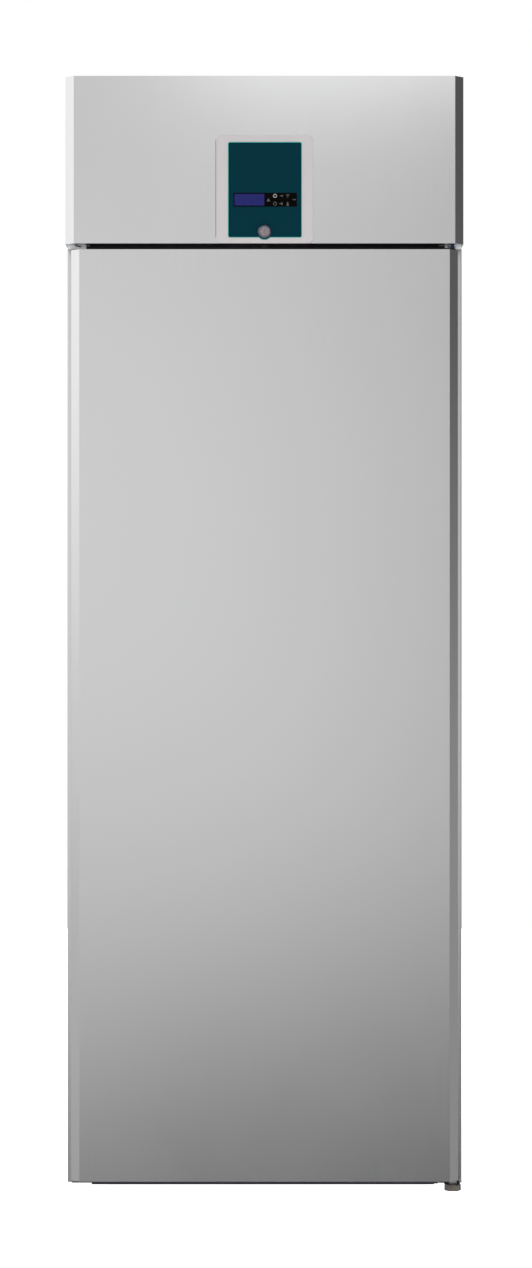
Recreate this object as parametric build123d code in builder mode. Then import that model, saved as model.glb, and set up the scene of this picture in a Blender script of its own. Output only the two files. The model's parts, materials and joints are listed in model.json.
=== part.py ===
"""Roll-in refrigerator: a tall cabinet with no floor, so that a rack can be wheeled straight in.

X runs across the cabinet, the door faces -Y and Z is up. The origin is on the floor, under the middle.
"""
from build123d import *
import os

os.makedirs("parts", exist_ok=True)

# Cabinet
cabinet_width = 750.0
cabinet_height = 2100.0
cabinet_depth = 877.0
wall = 70.0
ceiling_foam = 80.0
wall_underside = 8.0
base_plate = 3.0

# Sheet metal
skin = 1.0
liner = 1.0
deck_sheet = 2.0
bend_radius = 1.6
edge_bevel = 16.0

# How far a cut starts outside the face that it opens
overcut = 1.0

# Header panel and the gap under it
header_height = 315.0
header_gap = 11.0
header_back_gap = 4.0
header_lip = 18.0
pivot_from_back = 23.0
pivot_from_top = 8.0
pivot_pin = 6.0
pivot_plate = 3.0
pivot_margin = 10.0
top_lip_behind_pivot = 17.0

# Door
door_thickness = 62.0
door_reveal = 10.25
door_floor_gap = 21.0
door_overlap = 29.0
gasket_gap = 10.0
gasket_width = 22.0
gasket_inset = 4.0
gasket_base = 3.5
magnet_width = 12.0
door_cap = 4.0
rear_flange = 14.0
liner_raise = 6.0
liner_raise_inset = 22.0

# Grip along the free edge of the door
grip_lip = 6.0
grip_opening = 25.0
grip_depth = 22.0
grip_wall = 2.5

# Front face of the cabinet
face_flange = 33.0
frame_wall = 2.0
frame_return = 15.0

# Hinges
hinge_from_edge = 31.0
hinge_setback = 30.0
hinge_plate = 4.0
hinge_plate_gap = 1.5
upper_plate_gap = 3.0
hinge_plate_margin = 10.0
bracket_width = 40.0
bracket_side_gap = 2.0
upper_leg_height = 44.0
lower_leg_height = 44.0
lower_leg = 3.0
lower_pin = 9.0
upper_pin = 8.0
pin_engagement = 26.0
pin_head = 4.0
bush_outer = 18.0
bush_length = 30.0
bush_flange = 22.0
hinge_screw = 6.0
hinge_screw_head = 11.0
hinge_screw_sink = 2.5
hinge_screw_length = 22.0
hinge_screw_low = 16.0
hinge_screw_high = 34.0

# Feet
foot_across_flats = 27.0
foot_height = 11.0
foot_neck = 15.6
foot_stem = 10.0
foot_from_edge = 19.5
pad_diameter = 36.0
pad_height = 4.0
pad_stem = 12.0
pad_inset_x = 35.0
pad_inset_front = 80.0
pad_inset_rear = 50.0

# Sweep seal under the door
sweep_left_gap = 37.0
sweep_right_gap = 43.0
sweep_thickness = 4.0
sweep_setback = 53.0
sweep_floor_gap = 7.0
sweep_head = 10.0
sweep_head_height = 3.0

# Control panel
bezel_width = 182.0
bezel_height = 202.6
bezel_proud = 3.0
bezel_corner = 9.0
bezel_floor = 1.6
bezel_box_depth = 18.0
bezel_box_wall = 2.0
bezel_box_margin = 16.0
bezel_box_lift = 6.0
fascia_width = 139.4
fascia_height = 180.2
fascia_shift = 0.8
fascia_lift = 10.3
fascia_corner = 4.0
fascia_sheet = 1.0
lock_bulge = 15.6
window_width = 119.4
window_height = 26.3
window_shift = 1.2
window_lift = 81.7
window_ledge = 1.5
screen_width = 55.8
screen_height = 21.8
screen_inset = 2.3
screen_sink = 0.1
key_width = 10.6
key_height = 9.6
key_pitch_x = 11.9
key_pitch_z = 14.7
key_columns = 3
key_rows = 2
key_travel = 0.5
key_from_right = 29.3
board_sheet = 1.6
board_gap = 7.0
board_margin = 6.0
boss = 6.0

# Lock
lock_lift = 21.6
lock_flange = 25.0
lock_flange_height = 4.4
lock_body = 20.0
lock_body_length = 21.0
plug_face = 17.0
plug_face_depth = 6.0
plug_shaft = 12.0
plug_tail = 8.0
keyway_width = 1.6
keyway_height = 8.0
keyway_depth = 5.0
cam_length = 45.0
cam_width = 14.0
cam_sheet = 2.5
cam_slot_clearance = 3.0
cam_slot_entry = 33.0
cam_pocket_wall = 2.0

# Inside of the cabinet
guide_height = 60.0
guide_thickness = 12.0
lower_guide_level = 250.0
upper_guide_level = 820.0
guide_front_gap = 70.0
guide_rear_gap = 45.0
bumper_height = 60.0
bumper_thickness = 18.0
duct_width = 390.0
duct_depth = 25.0
duct_bottom = 900.0
duct_sheet = 1.0
duct_slot_height = 10.0
duct_slot_width = 120.0
duct_slot_rows = 9
duct_slot_pitch = 80.0
lamp_length = 800.0
lamp_bottom = 620.0
lamp_width = 22.0
lamp_thickness = 14.0
lamp_front_gap = 30.0

# Insulated hood over the evaporator
hood_width = 400.0
hood_length = 470.0
hood_height = 222.0
hood_wall = 25.0
hood_side_gap = 35.0
hood_rear_gap = 30.0
baffle = 3.0
baffle_from_front = 186.0
return_width = 220.0
return_length = 70.0
return_from_wall = 10.0
supply_width = 215.0
supply_length = 20.0
supply_from_wall = 8.0
supply_from_duct = 2.0
spout_diameter = 16.0
spout_bore = 12.0
spout_length = 95.0
spout_height = 52.0
drip_shelf_lift = 44.0
drip_shelf = 3.0

# Coils
fin_sheet = 1.0
tube_diameter = 9.0
evaporator_width = 270.0
evaporator_depth = 120.0
evaporator_height = 145.0
evaporator_fins = 16
evaporator_passes = 4
evaporator_rows = 3
evaporator_gap = 16.0
condenser_width = 260.0
condenser_depth = 45.0
condenser_height = 220.0
condenser_fins = 27
condenser_passes = 8
condenser_rows = 2
condenser_side_gap = 35.0
condenser_front_gap = 34.0
coil_end_reach = 20.0
coil_leg = 14.0

# Fans
fan_radius = 82.0
fan_hub = 22.0
fan_hub_length = 24.0
blade_count = 5
blade_chord = 46.0
blade_sheet = 1.5
blade_pitch = 32.0
fan_shaft = 8.0
fan_shaft_reach = 14.0
fan_clearance = 3.0
fan_axis_height = 102.0
motor_radius = 34.0
motor_length = 44.0
motor_gap = 4.0
motor_foot = 26.0
motor_foot_width = 50.0
shroud_depth = 30.0
shroud_sheet = 1.5

# Compressor
compressor_radius = 84.0
compressor_height = 178.0
compressor_dome = 34.0
compressor_side_gap = 160.0
compressor_from_hood = 95.0
compressor_plate = 3.0
discharge_offset = 42.0
compressor_foot_span = 150.0
compressor_foot = 26.0
grommet_diameter = 24.0
grommet_height = 12.0
grommet_bore = 8.0
stub_length = 14.0
stub_wall = 1.0
seam_height = 107.0
seam_proud = 3.0
seam_band = 5.0

# Pipes
gas_pipe = 8.0
gas_bore = 6.0
liquid_pipe = 6.0
liquid_bore = 4.0
pipe_bend = 16.0
pipe_lane = 25.0
pipe_cross = 40.0
liquid_rise = 60.0
suction_rise = 90.0
suction_reach = 37.0
drier_diameter = 24.0
drier_length = 100.0
drier_from_hood = 20.0

# Boxes and panels round the machine
tray_width = 200.0
tray_length = 190.0
tray_height = 32.0
tray_wall = 1.5
tray_side_gap = 40.0
tray_rear_gap = 45.0
control_box_width = 180.0
control_box_length = 110.0
control_box_height = 130.0
control_box_wall = 2.0
rear_panel_recess = 14.0
rear_panel_flange = 12.0
louvre_width = 200.0
louvre_height = 8.0
louvre_rows = 8
louvre_pitch = 22.0
louvre_columns = 2
louvre_column_pitch = 300.0
gland_diameter = 22.0
gland_bore = 10.0
gland_wall = 2.0
gland_chamfer = 2.0
gland_length = 11.0
gland_from_right = 60.0
gland_lift = 30.0

# Clearances
running_gap = 0.05
fit_gap = 0.1
rest_gap = 0.3
panel_gap = 0.5

# Places worked out from the sizes above
lock_proud = lock_flange_height - (bezel_proud - bezel_floor)
half_width = cabinet_width / 2
front_y = (bezel_proud + lock_proud - cabinet_depth) / 2
rear_y = front_y + cabinet_depth
door_back = front_y + door_thickness
face_y = door_back + gasket_gap
header_bottom = cabinet_height - header_height
door_bottom = door_floor_gap
door_top = header_bottom - header_gap
door_half = half_width - door_reveal
opening_top = door_top - door_overlap
inner_half = half_width - wall
inner_rear = rear_y - wall
base_top = wall_underside + base_plate
deck_bottom = opening_top + liner + ceiling_foam
deck_top = deck_bottom + deck_sheet
hinge_x = half_width - hinge_from_edge
hinge_y = front_y + hinge_setback
side_inside = half_width - skin


def slab(x, y, z, mode=Mode.ADD):
    """A box between two limits along each axis, given in either order."""
    middle = [(a + b) / 2 for a, b in (x, y, z)]
    with Locations(tuple(middle)):
        Box(abs(x[1] - x[0]), abs(y[1] - y[0]), abs(z[1] - z[0]), mode=mode)


def rod(diameter, start, end, mode=Mode.ADD):
    """A round bar from one point to another."""
    along = Vector(*end) - Vector(*start)
    with Locations(Plane(origin=start, z_dir=along)):
        Cylinder(diameter / 2, along.length, align=(Align.CENTER, Align.CENTER, Align.MIN), mode=mode)


def facing(y):
    """The plane at a depth, seen from the front: sketches on it use X and Z, and it grows towards -Y."""
    return Plane.XZ.offset(-y)


def bevelled_plan(half, back, inset=0.0):
    """Plan of the door or the header, with its two front edges bevelled, drawn inwards by an inset."""
    with BuildSketch() as plan:
        with BuildLine():
            Polyline(
                (-half, back),
                (-half, front_y + edge_bevel),
                (-half + edge_bevel, front_y),
                (half - edge_bevel, front_y),
                (half, front_y + edge_bevel),
                (half, back),
                close=True,
            )
        make_face()
        if inset:
            offset(amount=-inset, kind=Kind.INTERSECTION, mode=Mode.REPLACE)
        front_corners = plan.vertices().filter_by(lambda corner: corner.Y < back - edge_bevel)
        fillet(front_corners, radius=bend_radius)
    return plan.sketch


def pipe_run(route, diameter, bore, bend):
    """A tube along straight runs with rounded corners."""
    with BuildPart() as pipe:
        with BuildLine() as path:
            FilletPolyline(*route, radius=bend)
        with BuildSketch(path.line ^ 0):
            Circle(diameter / 2)
            if bore:
                Circle(bore / 2, mode=Mode.SUBTRACT)
        sweep()
    return pipe.part


def save(piece, name):
    """Label a finished piece and write it under its own name."""
    piece.label = name
    export_step(piece, f"parts/{name}.step")


# Hinge screw places: the upper pair of plates and the lower plate, as side, x from the side and height
upper_plate_bottom = header_bottom + upper_plate_gap
lower_plate_top = door_bottom - hinge_plate_gap
lower_plate_bottom = lower_plate_top - hinge_plate
bracket_outer = side_inside - bracket_side_gap
bracket_inner = bracket_outer - bracket_width
screw_x = half_width - face_flange / 2
screw_rises = (hinge_screw_low, hinge_screw_high)
upper_screw_places = [(side * screw_x, upper_plate_bottom + rise) for side in (-1, 1) for rise in screw_rises]
lower_screw_places = [(screw_x, lower_plate_bottom + rise) for rise in screw_rises]
hinge_screw_places = upper_screw_places + lower_screw_places


def hinge_screw_form(x, z, front, gap, mode=Mode.ADD):
    """A countersunk screw, or the hole for one when a gap is given."""
    length = hinge_screw_length + face_y - front
    rod(hinge_screw + 2 * gap, (x, front, z), (x, front + length + gap, z), mode=mode)
    with Locations(Plane(origin=(x, front, z), z_dir=(0, 1, 0))):
        Cone(
            hinge_screw_head / 2 + gap,
            hinge_screw / 2 + gap,
            hinge_screw_sink,
            align=(Align.CENTER, Align.CENTER, Align.MIN),
            mode=mode,
        )


def hinge_screw_holes(side):
    """Bores for the hinge screws of one side wall."""
    for x, z in hinge_screw_places:
        if x * side > 0:
            start = (x, face_y - skin, z)
            end = (x, face_y + hinge_screw_length + fit_gap, z)
            rod(hinge_screw + 2 * fit_gap, start, end, mode=Mode.SUBTRACT)


# Outer skins of the side walls, each with a flange folded across the front
for name, side in (("left_outer_skin", -1), ("right_outer_skin", 1)):
    with BuildPart() as side_skin:
        slab((side * side_inside, side * half_width), (face_y, rear_y), (wall_underside, cabinet_height))
        slab(
            (side * (half_width - face_flange), side * half_width),
            (face_y, face_y + skin),
            (wall_underside, cabinet_height),
        )
        folded_edge = side_skin.edges().filter_by(Axis.Z).sort_by_distance((side * half_width, face_y, 0))
        fillet(folded_edge[0], radius=bend_radius)
        hinge_screw_holes(side)
    save(side_skin.part, name)

# Rear skin between the side skins, up to the machine deck
with BuildPart() as rear_outer_skin:
    slab((-side_inside, side_inside), (rear_y - skin, rear_y), (wall_underside, deck_top))
save(rear_outer_skin.part, "rear_outer_skin")

# Foam of the two side walls
for name, side in (("left_foam_core", -1), ("right_foam_core", 1)):
    with BuildPart() as side_foam:
        slab(
            (side * (inner_half + liner), side * side_inside),
            (face_y + skin, rear_y - skin),
            (base_top, deck_bottom),
        )
        slab(
            (side * inner_half, side * (half_width - face_flange)),
            (face_y, face_y + frame_wall),
            (base_top, deck_bottom),
            mode=Mode.SUBTRACT,
        )
        hinge_screw_holes(side)
    save(side_foam.part, name)

# Foam of the rear wall
with BuildPart() as rear_foam_core:
    slab(
        (-inner_half - liner, inner_half + liner),
        (inner_rear + liner, rear_y - skin),
        (base_top, opening_top + liner),
    )
save(rear_foam_core.part, "rear_foam_core")

# Places of the evaporator hood and of the two air openings under it
hood_left = -side_inside + hood_side_gap
hood_right = hood_left + hood_width
hood_rear = rear_y - hood_rear_gap
hood_front = hood_rear - hood_length
hood_top = deck_top + hood_height
hood_x = (hood_left + hood_right) / 2
duct_front = inner_rear - duct_depth
return_x = (hood_x - return_width / 2, hood_x + return_width / 2)
return_front = hood_front + hood_wall + return_from_wall
return_y = (return_front, return_front + return_length)
supply_right = hood_right - hood_wall - supply_from_wall
supply_x = (supply_right - supply_width, supply_right)
supply_front = duct_front + duct_sheet + supply_from_duct
supply_y = (supply_front, supply_front + supply_length)
air_openings = [(return_x, return_y), (supply_x, supply_y)]

# Foam of the ceiling, with the return and supply openings
with BuildPart() as ceiling_foam_core:
    slab(
        (-inner_half - liner, inner_half + liner),
        (face_y + frame_wall, rear_y - skin),
        (opening_top + liner, deck_bottom),
    )
    for x, y in air_openings:
        slab(x, y, (opening_top, deck_top), mode=Mode.SUBTRACT)
save(ceiling_foam_core.part, "ceiling_foam_core")

# Inner liner: three walls and a ceiling, open at the front and at the floor
with BuildPart() as inner_liner:
    liner_front = face_y + frame_return
    slab(
        (-inner_half - liner, inner_half + liner),
        (liner_front, inner_rear + liner),
        (wall_underside, opening_top + liner),
    )
    inside_height = (wall_underside, opening_top)
    slab((-inner_half, inner_half), (liner_front, inner_rear), inside_height, Mode.SUBTRACT)
    for x, y in air_openings:
        slab(x, y, (opening_top - liner, opening_top + 2 * liner), mode=Mode.SUBTRACT)
save(inner_liner.part, "inner_liner")

# Plastic frame round the opening, with a return that meets the liner
frame_outer = half_width - face_flange
with BuildPart() as front_frame:
    slab((-frame_outer, frame_outer), (face_y, face_y + frame_wall), (wall_underside, deck_bottom))
    slab(
        (-inner_half - liner, inner_half + liner),
        (face_y, face_y + frame_return),
        (wall_underside, opening_top + liner),
    )
    mouth = (wall_underside, opening_top)
    slab((-inner_half, inner_half), (face_y, face_y + frame_return), mouth, Mode.SUBTRACT)
    mouth_edges = front_frame.edges().group_by(Axis.Y)[0]
    mouth_edges = mouth_edges.filter_by(lambda e: abs(e.center().X) < inner_half + liner)
    mouth_edges = mouth_edges.filter_by(lambda e: e.center().Z < opening_top + liner)
    fillet(mouth_edges.filter_by(lambda e: e.length > wall), radius=liner / 2)
save(front_frame.part, "front_frame")

# Base plates that close the walls underneath
with BuildPart() as base_frame:
    slab((-side_inside, side_inside), (face_y + frame_wall, rear_y - skin), (wall_underside, base_top))
    slab(
        (-inner_half - liner, inner_half + liner),
        (face_y, inner_rear + liner),
        (wall_underside, base_top),
        mode=Mode.SUBTRACT,
    )
save(base_frame.part, "base_frame")

# Levelling feet under the side walls
pad_x = half_width - pad_inset_x
pad_front = face_y + pad_inset_front
pad_rear = rear_y - pad_inset_rear
with BuildPart() as levelling_feet:
    for x in (-pad_x, pad_x):
        for y in (pad_front, pad_rear):
            rod(pad_diameter, (x, y, 0), (x, y, pad_height))
            rod(pad_stem, (x, y, pad_height), (x, y, wall_underside))
    pad_rims = levelling_feet.edges().filter_by(GeomType.CIRCLE).group_by(Axis.Z)[1]
    chamfer(pad_rims.filter_by(lambda e: e.radius > pad_stem), length=pad_height / 4)
save(levelling_feet.part, "levelling_feet")

# Upper hinge plates: the working one on the right and the spare one on the left
with BuildPart() as upper_hinge_plates:
    for side in (-1, 1):
        across = (side * bracket_inner, side * bracket_outer)
        leg_height = (upper_plate_bottom, upper_plate_bottom + upper_leg_height)
        plate_height = (upper_plate_bottom, upper_plate_bottom + hinge_plate)
        slab(across, (face_y - hinge_plate, face_y), leg_height)
        slab(across, (hinge_y - hinge_plate_margin, face_y), plate_height)
        pin_bore = upper_pin + 2 * fit_gap
        below = (side * hinge_x, hinge_y, upper_plate_bottom)
        above = (side * hinge_x, hinge_y, upper_plate_bottom + hinge_plate)
        rod(pin_bore, below, above, mode=Mode.SUBTRACT)
    for x, z in upper_screw_places:
        hinge_screw_form(x, z, face_y - hinge_plate, fit_gap, mode=Mode.SUBTRACT)
save(upper_hinge_plates.part, "upper_hinge_plates")

# Lower hinge plate: carries the pin and is carried by the hexagonal foot
foot_x = half_width - foot_from_edge
with BuildPart() as lower_hinge_plate:
    across = (bracket_inner, bracket_outer)
    slab(across, (face_y - lower_leg, face_y), (lower_plate_bottom, lower_plate_bottom + lower_leg_height))
    slab(across, (hinge_y - hinge_plate_margin, face_y), (lower_plate_bottom, lower_plate_top))
    for x, diameter in ((hinge_x, lower_pin), (foot_x, foot_stem)):
        bore = diameter + 2 * fit_gap
        rod(bore, (x, hinge_y, lower_plate_bottom), (x, hinge_y, lower_plate_top), mode=Mode.SUBTRACT)
    for x, z in lower_screw_places:
        hinge_screw_form(x, z, face_y - lower_leg, fit_gap, mode=Mode.SUBTRACT)
save(lower_hinge_plate.part, "lower_hinge_plate")

# Hexagonal foot under the lower hinge plate, turned with a flat to the front
with BuildPart() as hinge_foot:
    with BuildSketch():
        with Locations((foot_x, hinge_y)):
            RegularPolygon(foot_across_flats / 2, 6, major_radius=False)
    extrude(amount=foot_height)
    rod(foot_neck, (foot_x, hinge_y, foot_height), (foot_x, hinge_y, lower_plate_bottom))
    rod(foot_stem, (foot_x, hinge_y, lower_plate_bottom), (foot_x, hinge_y, lower_plate_top))
save(hinge_foot.part, "hinge_foot")

# Hinge pins: the lower one stands in its plate, the upper one hangs by its head
with BuildPart() as hinge_pins:
    lower_end = door_bottom + pin_engagement
    upper_end = door_top - pin_engagement
    upper_seat = upper_plate_bottom + hinge_plate
    rod(lower_pin, (hinge_x, hinge_y, lower_plate_bottom), (hinge_x, hinge_y, lower_end))
    rod(upper_pin, (hinge_x, hinge_y, upper_end), (hinge_x, hinge_y, upper_seat))
    rod(2 * upper_pin, (hinge_x, hinge_y, upper_seat), (hinge_x, hinge_y, upper_seat + pin_head))
save(hinge_pins.part, "hinge_pins")

# Countersunk screws that hold the hinge plates to the side walls
with BuildPart() as hinge_screws:
    for x, z in upper_screw_places:
        hinge_screw_form(x, z, face_y - hinge_plate, 0)
    for x, z in lower_screw_places:
        hinge_screw_form(x, z, face_y - lower_leg, 0)
save(hinge_screws.part, "hinge_screws")

# Guide rails on the side walls, which keep the rack off the liner
with BuildPart() as rack_guides:
    for side in (-1, 1):
        for level in (lower_guide_level, upper_guide_level):
            slab(
                (side * inner_half, side * (inner_half - guide_thickness)),
                (face_y + guide_front_gap, inner_rear - guide_rear_gap),
                (level, level + guide_height),
            )
    inner_faces = rack_guides.edges().filter_by(Axis.Y)
    inner_faces = inner_faces.filter_by(lambda e: abs(e.center().X) < inner_half - guide_thickness / 2)
    chamfer(inner_faces, length=guide_thickness / 2)
save(rack_guides.part, "rack_guides")

# Bumpers on the rear wall, where the rack comes to rest
with BuildPart() as rear_bumpers:
    for level in (lower_guide_level, upper_guide_level):
        slab(
            (-duct_width / 2, duct_width / 2),
            (inner_rear - bumper_thickness, inner_rear),
            (level, level + bumper_height),
        )
    front_edges = rear_bumpers.edges().filter_by(Axis.X).group_by(Axis.Y)[0]
    chamfer(front_edges, length=bumper_thickness / 3)
save(rear_bumpers.part, "rear_bumpers")

# Air duct on the rear wall, a folded tray with rows of outlet slots
with BuildPart() as air_duct_panel:
    duct_half = duct_width / 2
    slab((-duct_half, duct_half), (duct_front, inner_rear), (duct_bottom, opening_top))
    slab(
        (-duct_half + duct_sheet, duct_half - duct_sheet),
        (duct_front + duct_sheet, inner_rear),
        (duct_bottom + duct_sheet, opening_top),
        mode=Mode.SUBTRACT,
    )
    with Locations((0, duct_front, (duct_bottom + opening_top) / 2)):
        with GridLocations(duct_width / 2, 1, 2, 1):
            for row in range(duct_slot_rows):
                rise = (row - (duct_slot_rows - 1) / 2) * duct_slot_pitch
                with Locations((0, 0, rise)):
                    Box(duct_slot_width, 4 * duct_sheet, duct_slot_height, mode=Mode.SUBTRACT)
save(air_duct_panel.part, "air_duct_panel")

# Strip lamp on the right wall, just inside the mouth
with BuildPart() as interior_lamp:
    lamp_front = face_y + lamp_front_gap
    slab(
        (inner_half - lamp_thickness, inner_half),
        (lamp_front, lamp_front + lamp_width),
        (lamp_bottom, lamp_bottom + lamp_length),
    )
    lens_edges = interior_lamp.edges().filter_by(Axis.Z).group_by(Axis.X)[0]
    fillet(lens_edges, radius=lamp_thickness / 3)
save(interior_lamp.part, "interior_lamp")

# Deck that carries the refrigeration machine
with BuildPart() as machine_deck:
    slab((-side_inside, side_inside), (face_y + skin, rear_y - skin), (deck_bottom, deck_top))
    for x, y in air_openings:
        slab(x, y, (deck_bottom - skin, deck_top + skin), mode=Mode.SUBTRACT)
save(machine_deck.part, "machine_deck")

# Fan places: one behind the condenser, one in the baffle of the hood
condenser_right = side_inside - condenser_side_gap
condenser_left = condenser_right - condenser_width
condenser_front = face_y + condenser_front_gap
condenser_rear = condenser_front + condenser_depth
condenser_top = deck_top + condenser_height
shroud_rear = condenser_rear + shroud_depth
baffle_front = hood_front + baffle_from_front
condenser_fan_place = (
    (condenser_left + condenser_right) / 2,
    shroud_rear - shroud_sheet / 2,
    deck_top + condenser_height / 2,
)
evaporator_fan_place = (hood_x, baffle_front + baffle / 2, deck_top + fan_axis_height)
fan_opening = 2 * (fan_radius + fan_clearance)

# Insulated hood over the evaporator, with its fan baffle, drip shelf and drain spout
shelf_bottom = deck_top + drip_shelf_lift
shelf_top = shelf_bottom + drip_shelf
evaporator_front = baffle_front + baffle + evaporator_gap
evaporator_rear = evaporator_front + evaporator_depth
with BuildPart() as evaporator_hood:
    inside_x = (hood_left + hood_wall, hood_right - hood_wall)
    slab((hood_left, hood_right), (hood_front, hood_rear), (deck_top, hood_top))
    fillet(evaporator_hood.edges().filter_by(Axis.Z), radius=hood_wall / 3)
    slab(
        inside_x,
        (hood_front + hood_wall, hood_rear - hood_wall),
        (deck_top, hood_top - hood_wall),
        mode=Mode.SUBTRACT,
    )
    slab(inside_x, (baffle_front, baffle_front + baffle), (deck_top, hood_top - hood_wall))
    shelf_y = (evaporator_front - fan_clearance, evaporator_rear + evaporator_gap)
    slab(inside_x, shelf_y, (shelf_bottom, shelf_top))
    fan_x, fan_y, fan_z = evaporator_fan_place
    behind_baffle = (fan_x, baffle_front + 2 * baffle, fan_z)
    rod(fan_opening, (fan_x, baffle_front - baffle, fan_z), behind_baffle, Mode.SUBTRACT)
    spout_y = (evaporator_front + evaporator_rear) / 2 + spout_diameter
    spout_z = deck_top + spout_height
    spout_end = hood_right + spout_length
    rod(spout_diameter, (hood_right, spout_y, spout_z), (spout_end, spout_y, spout_z))
    bore_start = (inside_x[1] - overcut, spout_y, spout_z)
    rod(spout_bore, bore_start, (spout_end, spout_y, spout_z), Mode.SUBTRACT)
save(evaporator_hood.part, "evaporator_hood")


def finned_coil(left, front, bottom, width, depth, height, fins, passes, rows):
    """Thin fins on one tube, which runs to and fro through each row in turn."""
    fin_pitch = (width - fin_sheet) / (fins - 1)
    pass_pitch = height / passes
    row_pitch = depth / rows
    bend = 0.45 * min(pass_pitch, row_pitch)
    ends = [left - coil_end_reach, left + width + coil_end_reach]
    heights = [bottom + (index + 0.5) * pass_pitch for index in range(passes)]
    route = []
    for row in range(rows):
        heights.reverse()
        for z in heights:
            route += [(x, front + (row + 0.5) * row_pitch, z) for x in ends]
            ends.reverse()
    route[0] = (left - coil_end_reach - coil_leg, *route[0][1:])
    route[-1] = (left - coil_end_reach - coil_leg, *route[-1][1:])
    with BuildPart() as coil:
        middle_y = front + depth / 2
        middle_z = bottom + height / 2
        first = left + fin_sheet / 2
        with Locations(*[(first + index * fin_pitch, middle_y, middle_z) for index in range(fins)]):
            Box(fin_sheet, depth, height)
        add(pipe_run(route, tube_diameter, 0, bend))
    return coil.part, route[0], route[-1]


# Evaporator coil on the drip shelf
evaporator_coil = finned_coil(
    hood_x - evaporator_width / 2,
    evaporator_front,
    shelf_top,
    evaporator_width,
    evaporator_depth,
    evaporator_height,
    evaporator_fins,
    evaporator_passes,
    evaporator_rows,
)[0]
save(evaporator_coil, "evaporator_coil")

# Condenser coil behind the header
condenser_coil, hot_in, hot_out = finned_coil(
    condenser_left,
    condenser_front,
    deck_top,
    condenser_width,
    condenser_depth,
    condenser_height,
    condenser_fins,
    condenser_passes,
    condenser_rows,
)
save(condenser_coil, "condenser_coil")

# Shroud that joins the condenser to its fan
with BuildPart() as condenser_shroud:
    slab((condenser_left, condenser_right), (condenser_rear, shroud_rear), (deck_top, condenser_top))
    slab(
        (condenser_left + shroud_sheet, condenser_right - shroud_sheet),
        (condenser_rear, shroud_rear - shroud_sheet),
        (deck_top + shroud_sheet, condenser_top - shroud_sheet),
        mode=Mode.SUBTRACT,
    )
    fan_x, fan_y, fan_z = condenser_fan_place
    hole_start = (fan_x, fan_y - shroud_sheet, fan_z)
    rod(fan_opening, hole_start, (fan_x, fan_y + shroud_sheet, fan_z), Mode.SUBTRACT)
save(condenser_shroud.part, "condenser_shroud")


def fan_motor(place, side):
    """A round motor on a foot: side is -1 in front of the fan and 1 behind it."""
    x, y, z = place
    near = y + side * (fan_hub_length / 2 + motor_gap)
    far = near + side * motor_length
    with BuildPart() as motor:
        rod(2 * motor_radius, (x, near, z), (x, far, z))
        chamfer(motor.edges().filter_by(GeomType.CIRCLE), length=motor_radius / 10)
        middle = (near + far) / 2
        slab(
            (x - motor_foot_width / 2, x + motor_foot_width / 2),
            (middle - motor_foot / 2, middle + motor_foot / 2),
            (deck_top, z),
        )
        shaft_end = near + side * (fan_shaft_reach + rest_gap)
        rod(fan_shaft + 2 * running_gap, (x, near - side, z), (x, shaft_end, z), mode=Mode.SUBTRACT)
    return motor.part


def axial_fan(place, side):
    """Hub, pitched blades and the shaft that turns in the motor."""
    x, y, z = place
    with BuildPart(Plane(origin=place, z_dir=(0, 1, 0))) as fan:
        Cylinder(fan_hub, fan_hub_length)
        with PolarLocations((fan_radius + fan_hub) / 2, blade_count):
            Box(fan_radius - fan_hub / 2, blade_chord, blade_sheet, rotation=(blade_pitch, 0, 0))
        Cylinder(fan_radius, 2 * blade_chord, mode=Mode.INTERSECT)
    with BuildPart() as assembly:
        add(fan.part)
        near = y + side * fan_hub_length / 2
        rod(fan_shaft, (x, y, z), (x, near + side * (motor_gap + fan_shaft_reach), z))
    return assembly.part


with BuildPart() as fan_motors:
    add(fan_motor(condenser_fan_place, 1))
    add(fan_motor(evaporator_fan_place, -1))
save(fan_motors.part, "fan_motors")
save(axial_fan(condenser_fan_place, 1), "condenser_fan")
save(axial_fan(evaporator_fan_place, -1), "evaporator_fan")

# Compressor: a welded pot on a foot plate, with stubs for its two pipes
compressor_x = side_inside - compressor_side_gap
compressor_y = hood_front + compressor_from_hood
plate_bottom = deck_top + grommet_height
pot_bottom = plate_bottom + compressor_plate
stub_z = pot_bottom + compressor_height / 2
grommet_places = GridLocations(compressor_foot_span, compressor_foot_span, 2, 2).locations
grommet_places = [(compressor_x + p.position.X, compressor_y + p.position.Y) for p in grommet_places]
plate_half = (compressor_foot_span + compressor_foot) / 2
discharge_x = compressor_x - discharge_offset
stub_front = compressor_y - compressor_radius - stub_length
stub_left = compressor_x - compressor_radius - stub_length
with BuildPart() as compressor:
    centre = (compressor_x, compressor_y)
    rod(2 * compressor_radius, (*centre, pot_bottom), (*centre, pot_bottom + compressor_height))
    fillet(compressor.edges().filter_by(GeomType.CIRCLE), radius=compressor_dome)
    seam_z = pot_bottom + seam_height
    rod(2 * (compressor_radius + seam_proud), (*centre, seam_z), (*centre, seam_z + seam_band))
    slab(
        (compressor_x - plate_half, compressor_x + plate_half),
        (compressor_y - plate_half, compressor_y + plate_half),
        (plate_bottom, pot_bottom),
    )
    for x, y in grommet_places:
        rod(grommet_bore, (x, y, plate_bottom), (x, y, pot_bottom), mode=Mode.SUBTRACT)
    stub = gas_pipe + 2 * stub_wall
    rod(stub, (discharge_x, compressor_y, stub_z), (discharge_x, stub_front, stub_z))
    rod(stub, (compressor_x, compressor_y, stub_z), (stub_left, compressor_y, stub_z))
save(compressor.part, "compressor")

# Rubber mounts under the compressor
with BuildPart() as compressor_mounts:
    for x, y in grommet_places:
        rod(grommet_diameter, (x, y, deck_top), (x, y, plate_bottom))
        rod(grommet_bore, (x, y, deck_top), (x, y, plate_bottom), mode=Mode.SUBTRACT)
save(compressor_mounts.part, "compressor_mounts")

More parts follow.
